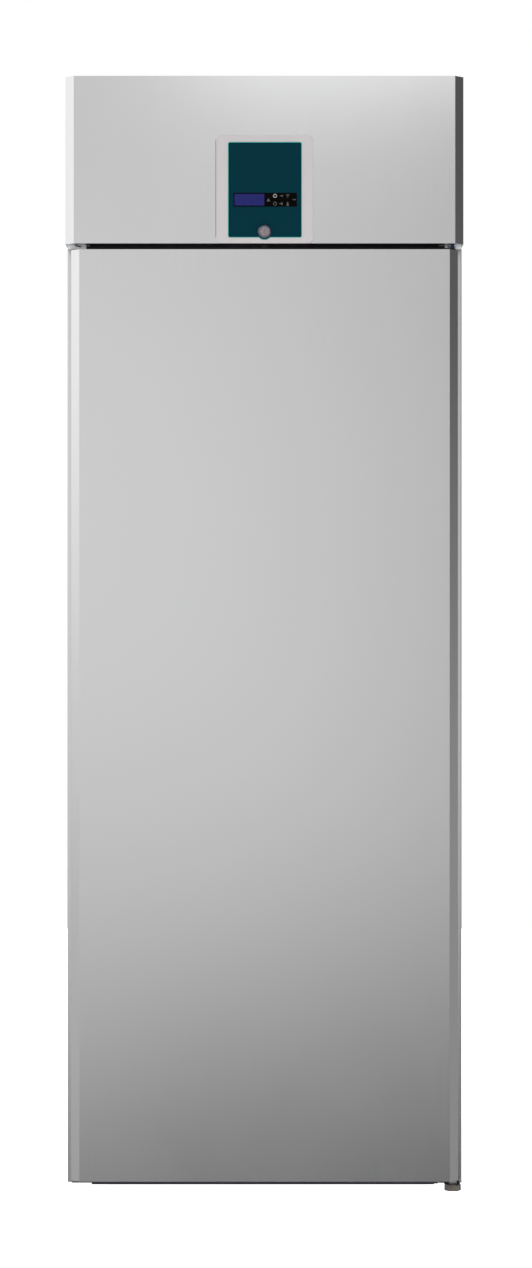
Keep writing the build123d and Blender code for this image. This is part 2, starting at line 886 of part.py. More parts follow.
# Refrigerant pipes, with the filter drier in the liquid line
discharge_lane = hot_in[0] - pipe_lane
liquid_lane = discharge_lane - pipe_lane
cross_y = stub_front - pipe_cross
liquid_z = stub_z + liquid_rise
suction_z = stub_z + suction_rise
suction_port_x = hood_right - pipe_lane
suction_lane = stub_left - pipe_lane
suction_y = hood_front - suction_reach
drier_rear = hood_front - drier_from_hood
drier_front = drier_rear - drier_length
discharge_route = [
    (discharge_x, stub_front, stub_z),
    (discharge_x, cross_y, stub_z),
    (discharge_lane, cross_y, stub_z),
    (discharge_lane, hot_in[1], stub_z),
    (discharge_lane, hot_in[1], hot_in[2]),
    hot_in,
]
liquid_route = [
    hot_out,
    (liquid_lane, hot_out[1], hot_out[2]),
    (liquid_lane, hot_out[1], liquid_z),
    (liquid_lane, drier_front, liquid_z),
]
suction_route = [
    (suction_port_x, hood_front, suction_z),
    (suction_port_x, suction_y, suction_z),
    (suction_lane, suction_y, suction_z),
    (suction_lane, suction_y, stub_z),
    (suction_lane, compressor_y, stub_z),
    (stub_left, compressor_y, stub_z),
]
with BuildPart() as refrigerant_pipes:
    add(pipe_run(discharge_route, gas_pipe, gas_bore, pipe_bend))
    add(pipe_run(liquid_route, liquid_pipe, liquid_bore, pipe_bend))
    add(pipe_run(suction_route, gas_pipe, gas_bore, pipe_bend))
    rod(drier_diameter, (liquid_lane, drier_front, liquid_z), (liquid_lane, drier_rear, liquid_z))
    rod(liquid_pipe, (liquid_lane, drier_rear, liquid_z), (liquid_lane, hood_front, liquid_z))
save(refrigerant_pipes.part, "refrigerant_pipes")

# Tray where the drain water dries away
with BuildPart() as condensate_tray:
    tray_right = side_inside - tray_side_gap
    tray_rear = rear_y - tray_rear_gap
    tray_x = (tray_right - tray_width, tray_right)
    tray_y = (tray_rear - tray_length, tray_rear)
    slab(tray_x, tray_y, (deck_top, deck_top + tray_height))
    fillet(condensate_tray.edges().filter_by(Axis.Z), radius=tray_wall * 4)
    top_face = condensate_tray.faces().sort_by(Axis.Z)[-1]
    offset(amount=-tray_wall, openings=top_face)
save(condensate_tray.part, "condensate_tray")

# Cover over the electrical connections
with BuildPart() as control_box:
    box_x = (hood_left, hood_left + control_box_width)
    box_y = (condenser_front, condenser_front + control_box_length)
    slab(box_x, box_y, (deck_top, deck_top + control_box_height))
    fillet(control_box.edges().filter_by(Axis.Z), radius=2 * control_box_wall)
    slab(
        (box_x[0] + control_box_wall, box_x[1] - control_box_wall),
        (box_y[0] + control_box_wall, box_y[1] - control_box_wall),
        (deck_top, deck_top + control_box_height - control_box_wall),
        mode=Mode.SUBTRACT,
    )
save(control_box.part, "control_box")

# Louvred panel behind the machine, and the gland where the supply cable enters
panel_rear = rear_y - rear_panel_recess
gland_x = side_inside - gland_from_right
gland_z = deck_top + gland_lift
with BuildPart() as machine_rear_panel:
    slab((-side_inside, side_inside), (panel_rear - skin, panel_rear), (deck_top, cabinet_height - skin))
    for side in (-1, 1):
        slab(
            (side * side_inside, side * (side_inside - skin)),
            (panel_rear - rear_panel_flange, panel_rear),
            (deck_top, cabinet_height - skin),
        )
    with Locations((0, panel_rear, (deck_top + cabinet_height) / 2)):
        for row in range(louvre_rows):
            rise = (row - (louvre_rows - 1) / 2) * louvre_pitch
            with Locations((0, 0, rise)):
                with GridLocations(louvre_column_pitch, 1, louvre_columns, 1):
                    Box(louvre_width, 4 * skin, louvre_height, mode=Mode.SUBTRACT)
    gland_hole = gland_bore + 2 * gland_wall
    start = (gland_x, panel_rear - 2 * skin, gland_z)
    rod(gland_hole, start, (gland_x, panel_rear + skin, gland_z), mode=Mode.SUBTRACT)
save(machine_rear_panel.part, "machine_rear_panel")

with BuildPart() as cable_gland:
    outside = (gland_x, panel_rear + gland_length, gland_z)
    rod(gland_diameter, (gland_x, panel_rear, gland_z), outside)
    rod(gland_hole - 2 * fit_gap, (gland_x, panel_rear - gland_length, gland_z), outside)
    rod(gland_bore, (gland_x, panel_rear - gland_length, gland_z), outside, mode=Mode.SUBTRACT)
    outer_rim = cable_gland.edges().filter_by(GeomType.CIRCLE).group_by(Axis.Y)[-1]
    chamfer(outer_rim.filter_by(lambda e: e.radius > gland_bore), length=gland_chamfer)
save(cable_gland.part, "cable_gland")

# Pivots on the front of the cabinet, on which the header panel swings up
header_back = face_y - header_back_gap
pivot_y = header_back - pivot_from_back
pivot_z = cabinet_height - pivot_from_top
ear_outside = side_inside - rest_gap
with BuildPart() as header_pivots:
    for side in (-1, 1):
        slab(
            (side * (frame_outer + panel_gap), side * ear_outside),
            (face_y - pivot_plate, face_y),
            (pivot_z - 4 * pivot_margin, pivot_z + pivot_pin),
        )
        slab(
            (side * (ear_outside - pivot_plate), side * ear_outside),
            (pivot_y - pivot_margin, face_y),
            (pivot_z - 2 * pivot_margin, pivot_z + pivot_pin),
        )
        start = (side * (ear_outside - pivot_plate), pivot_y, pivot_z)
        rod(pivot_pin, start, (side * (half_width - fit_gap), pivot_y, pivot_z))
save(header_pivots.part, "header_pivots")

# Header panel: one folded sheet with bevelled edges, returns at the sides and lips above and below
window_x = window_shift
window_z = header_bottom + window_lift
fascia_bottom = header_bottom + fascia_lift
lock_z = header_bottom + lock_lift
bezel_box_half = bezel_width / 2 - bezel_box_margin
bezel_box_z = (header_bottom + bezel_box_lift, header_bottom + bezel_height - bezel_box_margin)
with BuildPart() as header_panel:
    with BuildSketch(Plane.XY.offset(header_bottom)):
        add(bevelled_plan(half_width, header_back))
        add(bevelled_plan(half_width, header_back + 2 * skin, inset=skin), mode=Mode.SUBTRACT)
    extrude(amount=header_height)
    for bottom, back in (
        (header_bottom, front_y + header_lip),
        (cabinet_height - skin, pivot_y + top_lip_behind_pivot),
    ):
        with BuildSketch(Plane.XY.offset(bottom)):
            add(bevelled_plan(half_width - skin / 2, back))
        extrude(amount=skin)
    for side in (-1, 1):
        slab(
            (side * (side_inside - pivot_margin), side * side_inside),
            (pivot_y - 2 * pivot_margin, header_back),
            (cabinet_height - 2 * skin, cabinet_height),
            mode=Mode.SUBTRACT,
        )
        bore = pivot_pin + 2 * running_gap
        start = (side * (side_inside - overcut), pivot_y, pivot_z)
        rod(bore, start, (side * (half_width + overcut), pivot_y, pivot_z), mode=Mode.SUBTRACT)
    slab(
        (-bezel_box_half - panel_gap, bezel_box_half + panel_gap),
        (front_y - skin, front_y + 2 * skin),
        (bezel_box_z[0] - panel_gap, bezel_box_z[1] + panel_gap),
        mode=Mode.SUBTRACT,
    )
save(header_panel.part, "header_panel")

# Key places, in rows from left to right, starting at the top
key_middle_x = window_x + window_width / 2 - key_from_right
key_x = [key_middle_x + (i - (key_columns - 1) / 2) * key_pitch_x for i in range(key_columns)]
key_z = [window_z + ((key_rows - 1) / 2 - j) * key_pitch_z for j in range(key_rows)]
key_places = [(x, z) for z in key_z for x in key_x]
recess_y = front_y - bezel_floor
board_front = front_y + board_gap
screen_x = window_x - window_width / 2 + screen_inset + screen_width / 2

# Plastic bezel of the control panel, with a box behind it for the board
with BuildPart() as control_bezel:
    with BuildSketch(facing(front_y)):
        with Locations((0, header_bottom + bezel_height / 2)):
            RectangleRounded(bezel_width, bezel_height, bezel_corner)
    extrude(amount=bezel_proud)
    rim = control_bezel.faces().sort_by(Axis.Y)[0].edges()
    fillet(rim, radius=bezel_proud / 4)
    slab((-bezel_box_half, bezel_box_half), (front_y, front_y + bezel_box_depth), bezel_box_z)
    slab(
        (-bezel_box_half + bezel_box_wall, bezel_box_half - bezel_box_wall),
        (front_y, front_y + bezel_box_depth),
        (bezel_box_z[0] + bezel_box_wall, bezel_box_z[1] - bezel_box_wall),
        mode=Mode.SUBTRACT,
    )
    with BuildSketch(facing(recess_y)):
        with Locations((fascia_shift, fascia_bottom + fascia_height / 2)):
            RectangleRounded(fascia_width, fascia_height, fascia_corner)
        with Locations((0, lock_z)):
            Circle(lock_bulge)
    extrude(amount=bezel_proud, mode=Mode.SUBTRACT)
    slab(
        (window_x - window_width / 2 + window_ledge, window_x + window_width / 2 - window_ledge),
        (recess_y - overcut, front_y + overcut),
        (key_z[-1] - key_height / 2 - 2 * fit_gap, key_z[0] + key_height / 2 + 2 * fit_gap),
        mode=Mode.SUBTRACT,
    )
    lock_hole = ((0, recess_y - overcut, lock_z), (0, front_y + overcut, lock_z))
    rod(lock_body + 2 * fit_gap, *lock_hole, mode=Mode.SUBTRACT)
    board_half = window_width / 2 + board_margin
    for x in (window_x - board_half + boss, window_x + board_half - boss):
        for z in (window_z - window_height, window_z + window_height):
            rod(boss, (x, front_y, z), (x, board_front, z))
save(control_bezel.part, "control_bezel")

# Dark fascia sheet, lying in the recess of the bezel
with BuildPart() as control_fascia:
    with BuildSketch(facing(recess_y)):
        with Locations((fascia_shift, fascia_bottom + fascia_height / 2)):
            RectangleRounded(
                fascia_width - 2 * fit_gap, fascia_height - 2 * fit_gap, fascia_corner - fit_gap
            )
        with Locations((0, lock_z)):
            Circle(lock_bulge - fit_gap)
            Circle(lock_flange / 2 + fit_gap, mode=Mode.SUBTRACT)
        with Locations((window_x, window_z)):
            Rectangle(window_width, window_height, mode=Mode.SUBTRACT)
    extrude(amount=fascia_sheet)
save(control_fascia.part, "control_fascia")

# Black window with an opening for the screen and for each key
with BuildPart() as display_window:
    with BuildSketch(facing(recess_y)):
        with Locations((window_x, window_z)):
            Rectangle(window_width - 2 * fit_gap, window_height - 2 * fit_gap)
        with Locations((screen_x, window_z)):
            Rectangle(screen_width + 2 * fit_gap, screen_height + 2 * fit_gap, mode=Mode.SUBTRACT)
        with Locations(*key_places):
            Rectangle(key_width + 2 * fit_gap, key_height + 2 * fit_gap, mode=Mode.SUBTRACT)
    extrude(amount=fascia_sheet)
save(display_window.part, "display_window")

# Screen, almost flush in the window
with BuildPart() as display_screen:
    slab(
        (screen_x - screen_width / 2, screen_x + screen_width / 2),
        (recess_y - fascia_sheet + screen_sink, board_front),
        (window_z - screen_height / 2, window_z + screen_height / 2),
    )
save(display_screen.part, "display_screen")

# Circuit board behind the screen and the keys
with BuildPart() as control_board:
    slab(
        (window_x - board_half, window_x + board_half),
        (board_front, board_front + board_sheet),
        (window_z - window_height - boss, window_z + window_height + boss),
    )
save(control_board.part, "control_board")

# Keys, which travel straight back towards the board
key_names = ["power_key", "light_key", "menu_key", "down_key", "up_key", "defrost_key"]
for name, (x, z) in zip(key_names, key_places):
    with BuildPart() as key:
        slab(
            (x - key_width / 2, x + key_width / 2),
            (recess_y - fascia_sheet, board_front - key_travel - rest_gap),
            (z - key_height / 2, z + key_height / 2),
        )
        fillet(key.edges().group_by(Axis.Y)[0], radius=rest_gap)
    save(key.part, name)

# Lock housing, pushed through the fascia and the bezel
lock_front = recess_y - lock_flange_height
lock_back = recess_y + lock_body_length
cam_front = lock_back + rest_gap
with BuildPart() as lock_housing:
    rod(lock_flange, (0, lock_front, lock_z), (0, recess_y, lock_z))
    front_rim = lock_housing.edges().filter_by(GeomType.CIRCLE).sort_by(Axis.Y)[0]
    chamfer(front_rim, length=lock_flange_height / 3)
    rod(lock_body, (0, recess_y, lock_z), (0, lock_back, lock_z))
    face_bore = plug_face + 2 * running_gap
    shaft_bore = plug_shaft + 2 * running_gap
    step_y = lock_front + plug_face_depth + rest_gap
    rod(face_bore, (0, lock_front - overcut, lock_z), (0, step_y, lock_z), mode=Mode.SUBTRACT)
    rod(shaft_bore, (0, lock_front, lock_z), (0, lock_back + overcut, lock_z), mode=Mode.SUBTRACT)
save(lock_housing.part, "lock_housing")

# Lock plug with its keyway, and the tail that carries the cam
with BuildPart() as lock_plug:
    rod(plug_face, (0, lock_front, lock_z), (0, lock_front + plug_face_depth, lock_z))
    rod(plug_shaft, (0, lock_front, lock_z), (0, cam_front, lock_z))
    rod(plug_tail, (0, cam_front, lock_z), (0, cam_front + cam_sheet, lock_z))
    slab(
        (-keyway_width / 2, keyway_width / 2),
        (lock_front - overcut, lock_front + keyway_depth),
        (lock_z - keyway_height / 2, lock_z + keyway_height / 2),
        mode=Mode.SUBTRACT,
    )
save(lock_plug.part, "lock_plug")

# Cam of the lock, lying level when the door is free
with BuildPart() as lock_cam:
    with BuildSketch(facing(cam_front + cam_sheet)):
        with Locations((0, lock_z)):
            Circle(cam_width / 2)
        with Locations(((cam_length - cam_width / 2) / 2, lock_z)):
            Rectangle(cam_length - cam_width / 2, cam_width)
        with Locations((cam_length - cam_width / 2, lock_z)):
            Circle(cam_width / 2)
        with Locations((0, lock_z)):
            Circle(plug_tail / 2 + running_gap, mode=Mode.SUBTRACT)
    extrude(amount=cam_sheet)
save(lock_cam.part, "lock_cam")

# Places shared by the pieces of the door
grip_front = front_y + edge_bevel + grip_lip
grip_rear = grip_front + 2 * grip_wall + grip_opening
grip_inner = -door_half + grip_depth + grip_wall
core_bottom = door_bottom + door_cap
core_top = door_top - door_cap
core_back = door_back - skin
keeper_x = (-cam_width / 2 - cam_slot_clearance, cam_slot_entry + cam_width / 2 + cam_slot_clearance)
keeper_y = (cam_front - cam_slot_clearance, cam_front + cam_sheet + cam_slot_clearance)
keeper_bottom = lock_z - cam_length - cam_slot_clearance
sweep_x = (-door_half + sweep_left_gap, door_half - sweep_right_gap)
sweep_front = front_y + sweep_setback
sweep_y = (sweep_front, sweep_front + sweep_thickness)
sweep_middle = sweep_front + sweep_thickness / 2
sweep_head_y = (sweep_middle - sweep_head / 2, sweep_middle + sweep_head / 2)
raised_x = (-inner_half + liner_raise_inset, inner_half - liner_raise_inset)
raised_z = (core_bottom + liner_raise_inset, opening_top - liner_raise_inset)

# Outer skin of the door, with the grip left open along its free edge
with BuildPart() as door_outer_skin:
    with BuildSketch(Plane.XY.offset(door_bottom)):
        add(bevelled_plan(door_half, door_back))
        add(bevelled_plan(door_half, door_back, inset=skin), mode=Mode.SUBTRACT)
    extrude(amount=door_top - door_bottom)
    height = (door_bottom, door_top)
    slab((-door_half, door_half - rear_flange), (core_back, door_back), height, Mode.SUBTRACT)
    slab((-door_half, -door_half + skin), (grip_front, door_back), height, Mode.SUBTRACT)
    hinge_corner = door_outer_skin.edges().filter_by(Axis.Z).sort_by_distance((door_half, door_back, 0))[0]
    fillet(hinge_corner, radius=bend_radius)
save(door_outer_skin.part, "door_outer_skin")


def hinge_bush_bores():
    """Bores for the two hinge bushes in the pieces of the door."""
    bore = bush_outer + 2 * fit_gap
    rod(bore, (hinge_x, hinge_y, door_bottom), (hinge_x, hinge_y, door_bottom + bush_length), Mode.SUBTRACT)
    rod(bore, (hinge_x, hinge_y, door_top - bush_length), (hinge_x, hinge_y, door_top), Mode.SUBTRACT)


# Foam that fills the door, cut back round the grip, the keeper, the bushes and the sweep
with BuildPart() as door_foam_core:
    with BuildSketch(Plane.XY.offset(core_bottom)):
        add(bevelled_plan(door_half, door_back, inset=skin))
    extrude(amount=core_top - core_bottom)
    slab(
        (raised_x[0] + skin, raised_x[1] - skin),
        (core_back, core_back + liner_raise),
        (raised_z[0] + skin, raised_z[1] - skin),
    )
    slab((-door_half, grip_inner), (grip_front, door_back), (core_bottom, core_top), Mode.SUBTRACT)
    slab(
        (keeper_x[0] - cam_pocket_wall, keeper_x[1] + cam_pocket_wall),
        (keeper_y[0] - cam_pocket_wall, keeper_y[1] + cam_pocket_wall),
        (keeper_bottom - cam_pocket_wall, core_top),
        mode=Mode.SUBTRACT,
    )
    slab(sweep_x, sweep_head_y, (core_bottom, core_bottom + sweep_head_height), Mode.SUBTRACT)
    hinge_bush_bores()
save(door_foam_core.part, "door_foam_core")

# Inner liner of the door, pressed out towards the cabinet
with BuildPart() as door_inner_liner:
    slab(
        (grip_inner, door_half - rear_flange),
        (core_back, door_back),
        (core_bottom, core_top),
    )
    slab(raised_x, (core_back, door_back + liner_raise), raised_z)
    fillet(door_inner_liner.faces().sort_by(Axis.Y)[-1].edges(), radius=liner_raise / 3)
    slab(
        (raised_x[0] + skin, raised_x[1] - skin),
        (core_back - overcut, core_back + liner_raise),
        (raised_z[0] + skin, raised_z[1] - skin),
        mode=Mode.SUBTRACT,
    )
save(door_inner_liner.part, "door_inner_liner")

# Plastic profile of the full-height grip
with BuildPart() as handle_profile:
    slab((-door_half, grip_inner), (grip_front, door_back), (core_bottom, core_top))
    slab(
        (-door_half, grip_inner - grip_wall),
        (grip_front + grip_wall, grip_rear - grip_wall),
        (core_bottom, core_top),
        mode=Mode.SUBTRACT,
    )
    lips = handle_profile.edges().filter_by(Axis.Z).group_by(Axis.X)[0]
    fillet(lips.filter_by(lambda e: e.center().Y > grip_front + overcut), radius=grip_wall / 3)
save(handle_profile.part, "handle_profile")

# Cap along the top of the door, with the slot that the cam drops into
with BuildPart() as door_top_cap:
    with BuildSketch(Plane.XY.offset(core_top)):
        add(bevelled_plan(door_half, door_back, inset=skin))
    extrude(amount=door_cap)
    slab(
        (keeper_x[0] - cam_pocket_wall, keeper_x[1] + cam_pocket_wall),
        (keeper_y[0] - cam_pocket_wall, keeper_y[1] + cam_pocket_wall),
        (keeper_bottom - cam_pocket_wall, core_top),
    )
    slab(keeper_x, keeper_y, (keeper_bottom, door_top), mode=Mode.SUBTRACT)
    hinge_bush_bores()
save(door_top_cap.part, "door_top_cap")

# Cap along the bottom of the door, grooved for the sweep
with BuildPart() as door_bottom_cap:
    with BuildSketch(Plane.XY.offset(door_bottom)):
        add(bevelled_plan(door_half, door_back, inset=skin))
    extrude(amount=door_cap)
    slab(sweep_x, sweep_y, (door_bottom, core_bottom), mode=Mode.SUBTRACT)
    hinge_bush_bores()
save(door_bottom_cap.part, "door_bottom_cap")

# Rubber sweep, held by its head inside the door
with BuildPart() as door_sweep:
    slab(sweep_x, sweep_y, (sweep_floor_gap, core_bottom))
    slab(sweep_x, sweep_head_y, (core_bottom, core_bottom + sweep_head_height))
save(door_sweep.part, "door_sweep")

# Magnetic gasket on three sides: a soft base with the magnet strip on it
gasket_inner = inner_half + gasket_inset
gasket_top = opening_top + gasket_inset
gasket_face = face_y - rest_gap
with BuildPart() as door_gasket:
    spare = (gasket_width - magnet_width) / 2
    for inset, depth in ((0, (door_back, door_back + gasket_base)), (spare, (door_back, gasket_face))):
        near = gasket_inner + inset
        far = gasket_inner + gasket_width - inset
        top = gasket_top + gasket_width - inset
        for side in (-1, 1):
            slab((side * near, side * far), depth, (core_bottom, top))
        slab((-far, far), depth, (gasket_top + inset, top))
save(door_gasket.part, "door_gasket")

# Plain bushes for the hinge pins; the lower one has a collar that carries the door
with BuildPart() as door_hinge_bushes:
    axis_at = (hinge_x, hinge_y)
    rod(bush_outer, (*axis_at, door_bottom), (*axis_at, door_bottom + bush_length))
    rod(bush_flange, (*axis_at, lower_plate_top + rest_gap), (*axis_at, door_bottom))
    lower_bore = lower_pin + 2 * running_gap
    rod(lower_bore, (*axis_at, lower_plate_top), (*axis_at, door_bottom + bush_length), Mode.SUBTRACT)
    rod(bush_outer, (*axis_at, door_top - bush_length), (*axis_at, door_top))
    upper_bore = upper_pin + 2 * running_gap
    rod(upper_bore, (*axis_at, door_top - bush_length), (*axis_at, door_top), mode=Mode.SUBTRACT)
save(door_hinge_bushes.part, "door_hinge_bushes")
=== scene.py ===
"""The roll-in refrigerator as it looks in its studio picture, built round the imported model."""
import json
import math

import bmesh
import bpy
from mathutils import Matrix, Vector


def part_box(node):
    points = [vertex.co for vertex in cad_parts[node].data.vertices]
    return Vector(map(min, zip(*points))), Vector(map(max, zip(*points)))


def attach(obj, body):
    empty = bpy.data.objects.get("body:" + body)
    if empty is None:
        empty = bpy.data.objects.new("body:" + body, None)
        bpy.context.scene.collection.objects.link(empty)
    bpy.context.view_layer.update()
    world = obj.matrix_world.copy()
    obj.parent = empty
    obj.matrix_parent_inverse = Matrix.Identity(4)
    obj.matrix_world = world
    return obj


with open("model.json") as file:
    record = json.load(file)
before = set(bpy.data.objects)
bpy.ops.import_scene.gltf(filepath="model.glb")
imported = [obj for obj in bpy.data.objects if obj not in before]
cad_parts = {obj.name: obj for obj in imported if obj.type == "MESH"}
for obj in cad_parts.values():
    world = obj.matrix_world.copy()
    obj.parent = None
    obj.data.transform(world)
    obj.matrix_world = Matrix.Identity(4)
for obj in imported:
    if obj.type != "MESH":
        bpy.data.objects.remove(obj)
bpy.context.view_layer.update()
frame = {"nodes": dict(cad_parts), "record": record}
NODES = frame["nodes"]

MM = 0.001
IMAGE_HEIGHT = 1268

# The picture was taken square to the door, from about six metres. A pixel is this wide on the door's face
CAMERA_DISTANCE = 6.0
CAMERA_SIDE = 2.8 * MM
CAMERA_HEIGHT = 1050.6 * MM
PIXEL = 1.880 * MM
SENSOR = 36.0


def linear(hex_colour):
    """An sRGB hex colour as the linear colour that the shaders take."""
    channels = [int(hex_colour[start:start + 2], 16) / 255 for start in (1, 3, 5)]
    return [*(c / 12.92 if c <= 0.04045 else ((c + 0.055) / 1.055) ** 2.4 for c in channels), 1.0]


def add_node(tree, kind, settings=None, inputs=None):
    """Adds a node with its settings, and links or sets its inputs."""
    made = tree.nodes.new("ShaderNode" + kind)
    for key, value in (settings or {}).items():
        setattr(made, key, value)
    for socket, value in (inputs or {}).items():
        if isinstance(value, bpy.types.NodeSocket):
            tree.links.new(value, made.inputs[socket])
        else:
            made.inputs[socket].default_value = value
    return made


def object_pattern(tree, size_mm, kind="noise", detail=2.0):
    """A pattern on the object's own coordinates whose grain has this size along X, Y and Z."""
    place = add_node(tree, "TexCoord")
    scaled = add_node(tree, "Mapping", inputs={
        "Vector": place.outputs["Object"],
        "Scale": [1 / (size * MM) for size in size_mm],
    })
    if kind == "crystals":
        cells = add_node(tree, "TexVoronoi", inputs={"Vector": scaled.outputs[0], "Scale": 1.0})
        return add_node(tree, "SeparateColor", inputs={0: cells.outputs["Color"]}).outputs[0]
    noise = add_node(tree, "TexNoise", inputs={
        "Vector": scaled.outputs[0], "Scale": 1.0, "Detail": detail, "Roughness": 0.55,
    })
    return noise.outputs[0]


# Most of a noise pattern lies between these values, and the crystals' shades are spread over all of them
NOISE_RANGE = (0.3, 0.7)
CRYSTAL_RANGE = (0.0, 1.0)


def ranged(tree, value, low, high, usual=NOISE_RANGE):
    """Spreads a pattern's usual range over low to high."""
    return add_node(tree, "MapRange", inputs={0: value, 1: usual[0], 2: usual[1], 3: low, 4: high}).outputs[0]


def mixed(tree, factor, first, second):
    """Blends two colours by a pattern."""
    return add_node(tree, "Mix", {"data_type": "RGBA"}, {0: factor, 6: first, 7: second}).outputs[2]


def make_finish(name, dark, light, gloss, grain, relief=0.0, metallic=0.0, kind="noise",
                cloud=None, **sockets):
    """A material whose colour, roughness and relief follow one grain, with wider clouds over it."""
    material = bpy.data.materials.new(name)
    material.use_nodes = True
    tree = material.node_tree
    shader = tree.nodes["Principled BSDF"]
    pattern = object_pattern(tree, grain, kind)
    tint = pattern
    if cloud:
        wide = object_pattern(tree, (cloud, cloud, cloud), detail=3.0)
        tint = add_node(tree, "Math", {"operation": "ADD"}, {
            0: add_node(tree, "Math", {"operation": "MULTIPLY"}, {0: pattern, 1: 0.5}).outputs[0],
            1: add_node(tree, "Math", {"operation": "MULTIPLY"}, {0: wide, 1: 0.5}).outputs[0],
        }).outputs[0]
    usual = CRYSTAL_RANGE if kind == "crystals" else NOISE_RANGE
    spread = ranged(tree, tint, 0.0, 1.0, usual)
    tree.links.new(mixed(tree, spread, linear(dark), linear(light)), shader.inputs["Base Color"])
    tree.links.new(ranged(tree, tint, *gloss, usual), shader.inputs["Roughness"])
    if relief:
        bump = add_node(tree, "Bump", inputs={"Strength": 1.0, "Distance": relief * MM, "Height": pattern})
        tree.links.new(bump.outputs[0], shader.inputs["Normal"])
    shader.inputs["Metallic"].default_value = metallic
    for socket, value in sockets.items():
        shader.inputs[socket.replace("_", " ")].default_value = value
    return material


# Each finish: colours of the darker and lighter grain, roughness, grain size along X, Y and Z in mm,
# then, where it has them, relief in mm, metallic and the size of its wider clouds in mm
FINISHES = {
    # Stainless steel 1.4301, satin rolled: long fine upright grain that softens every reflection. The real
    # grain is about 0.1 mm wide, and is drawn wider so that it shows.
    "stainless": make_finish("stainless_steel_satin_rolled", "#C4C4C5", "#CBCBCC", (0.205, 0.235),
                             (1.4, 1.4, 140.0), 0.0015, 1.0, cloud=420.0),
    # Hot dip galvanised steel: zinc crystals a centimetre across, some duller than others.
    "galvanised": make_finish("galvanised_steel_hot_dipped", "#A9ADB0", "#B9BDC0", (0.43, 0.47),
                              (9.0, 9.0, 9.0), 0.0, 1.0, kind="crystals"),
    # Polyurethane foam, poured between the skins: dull straw colour with fine open cells.
    "foam": make_finish("polyurethane_foam_poured", "#C9B88A", "#DDD0A6", (0.85, 0.95),
                        (1.6, 1.6, 1.6), 0.35, cloud=60.0),
    # PVC, extruded and black: low sheen with faint lines along the draw.
    "black_pvc": make_finish("pvc_extruded_black", "#252330", "#2F2D3B", (0.28, 0.36),
                             (30.0, 1.5, 1.5), 0.01, IOR=1.53),
    "grey_pvc": make_finish("pvc_moulded_grey", "#7B7E81", "#888B8E", (0.42, 0.55),
                            (1.8, 1.8, 1.8), 0.02, cloud=90.0, IOR=1.53),
    # Zinc plated steel: bright bluish grey that has dulled a little in places.
    "zinc_steel": make_finish("steel_zinc_plated", "#A5A8AA", "#C6C9CC", (0.26, 0.42),
                              (2.5, 2.5, 2.5), 0.006, 1.0, cloud=18.0),
    # Opal polycarbonate of the strip lamp: milky and smooth.
    "white_lens": make_finish("polycarbonate_opal", "#E4E6E6", "#F1F3F3", (0.22, 0.30),
                              (14.0, 14.0, 14.0), IOR=1.585),
    # ABS, moulded and white, with the fine spark texture of its mould.
    "white_abs": make_finish("abs_moulded_white", "#D6D8D8", "#E3E5E5", (0.42, 0.55),
                             (1.4, 1.4, 1.4), 0.02, cloud=120.0, IOR=1.54),
    # Aluminium fin sheet, rolled thin: bright, with faint lines across.
    "fin_aluminium": make_finish("aluminium_fin_sheet_rolled", "#B9BBBD", "#D2D4D6", (0.28, 0.42),
                                 (9.0, 1.6, 30.0), 0.01, 1.0),
    # Powder coat, black: even orange peel with a soft shine.
    "black_paint": make_finish("powder_coat_black", "#101113", "#1A1B1D", (0.33, 0.45),
                               (2.2, 2.2, 2.2), 0.05, cloud=70.0, IOR=1.5),
    # EPDM rubber, moulded and extruded: almost matt, with bloom in patches.
    "black_rubber": make_finish("epdm_rubber_black", "#111213", "#1E1F20", (0.68, 0.85),
                                (2.0, 2.0, 2.0), 0.03, cloud=35.0, IOR=1.52, Specular_IOR_Level=0.12),
    # Copper tube, drawn: warm metal, browner where it was heated.
    "copper": make_finish("copper_tube_drawn", "#A4603F", "#CE8A63", (0.24, 0.42),
                          (20.0, 20.0, 20.0), 0.0, 1.0, cloud=55.0),
    # Glass-filled nylon of the fans: dark, dull, slightly mottled.
    "fan_plastic": make_finish("nylon_glass_filled_black", "#191A1C", "#27282A", (0.45, 0.62),
                               (1.2, 1.2, 1.2), 0.03, cloud=25.0, IOR=1.53),
    # ABS, moulded in a warm light grey, with a fine matt texture: the control surround.
    "bezel_abs": make_finish("abs_moulded_warm_grey", "#C3BEBF", "#C9C4C5", (0.46, 0.56),
                             (0.9, 0.9, 0.9), 0.006, cloud=45.0, IOR=1.54),
    # Polyester film, printed on its back in dark petrol green: satin and even.
    "teal_film": make_finish("polyester_film_printed_teal", "#002E39", "#01323D", (0.44, 0.52),
                             (1.1, 1.1, 1.1), 0.002, IOR=1.5, Specular_IOR_Level=0.04),
    # Acrylic lens, black behind: smooth, with a hairline of handling marks.
    "black_lens": make_finish("acrylic_lens_black", "#060403", "#0A0807", (0.26, 0.34),
                              (16.0, 16.0, 16.0), IOR=1.49, Specular_IOR_Level=0.02),
    # Chromed zinc casting: smooth and mid grey, with the faint ripple of polishing.
    "chrome": make_finish("zinc_casting_chromed", "#82797B", "#989093", (0.18, 0.28),
                          (3.0, 3.0, 3.0), 0.004, 1.0),
    # Phosphated steel of the hinge foot: dark, brownish, with a dry mottled sheen.
    "dark_steel": make_finish("steel_phosphated_brown", "#5E5751", "#7E7770", (0.42, 0.6),
                              (2.6, 2.6, 2.6), 0.03, 0.55, cloud=9.0),
}


# Scales of the two grids: a unit of the screen's cells is 1 mm, and one of the board's tracks about 4 mm
CELLS_PER_METRE = 1000
TRACKS_PER_METRE = 260


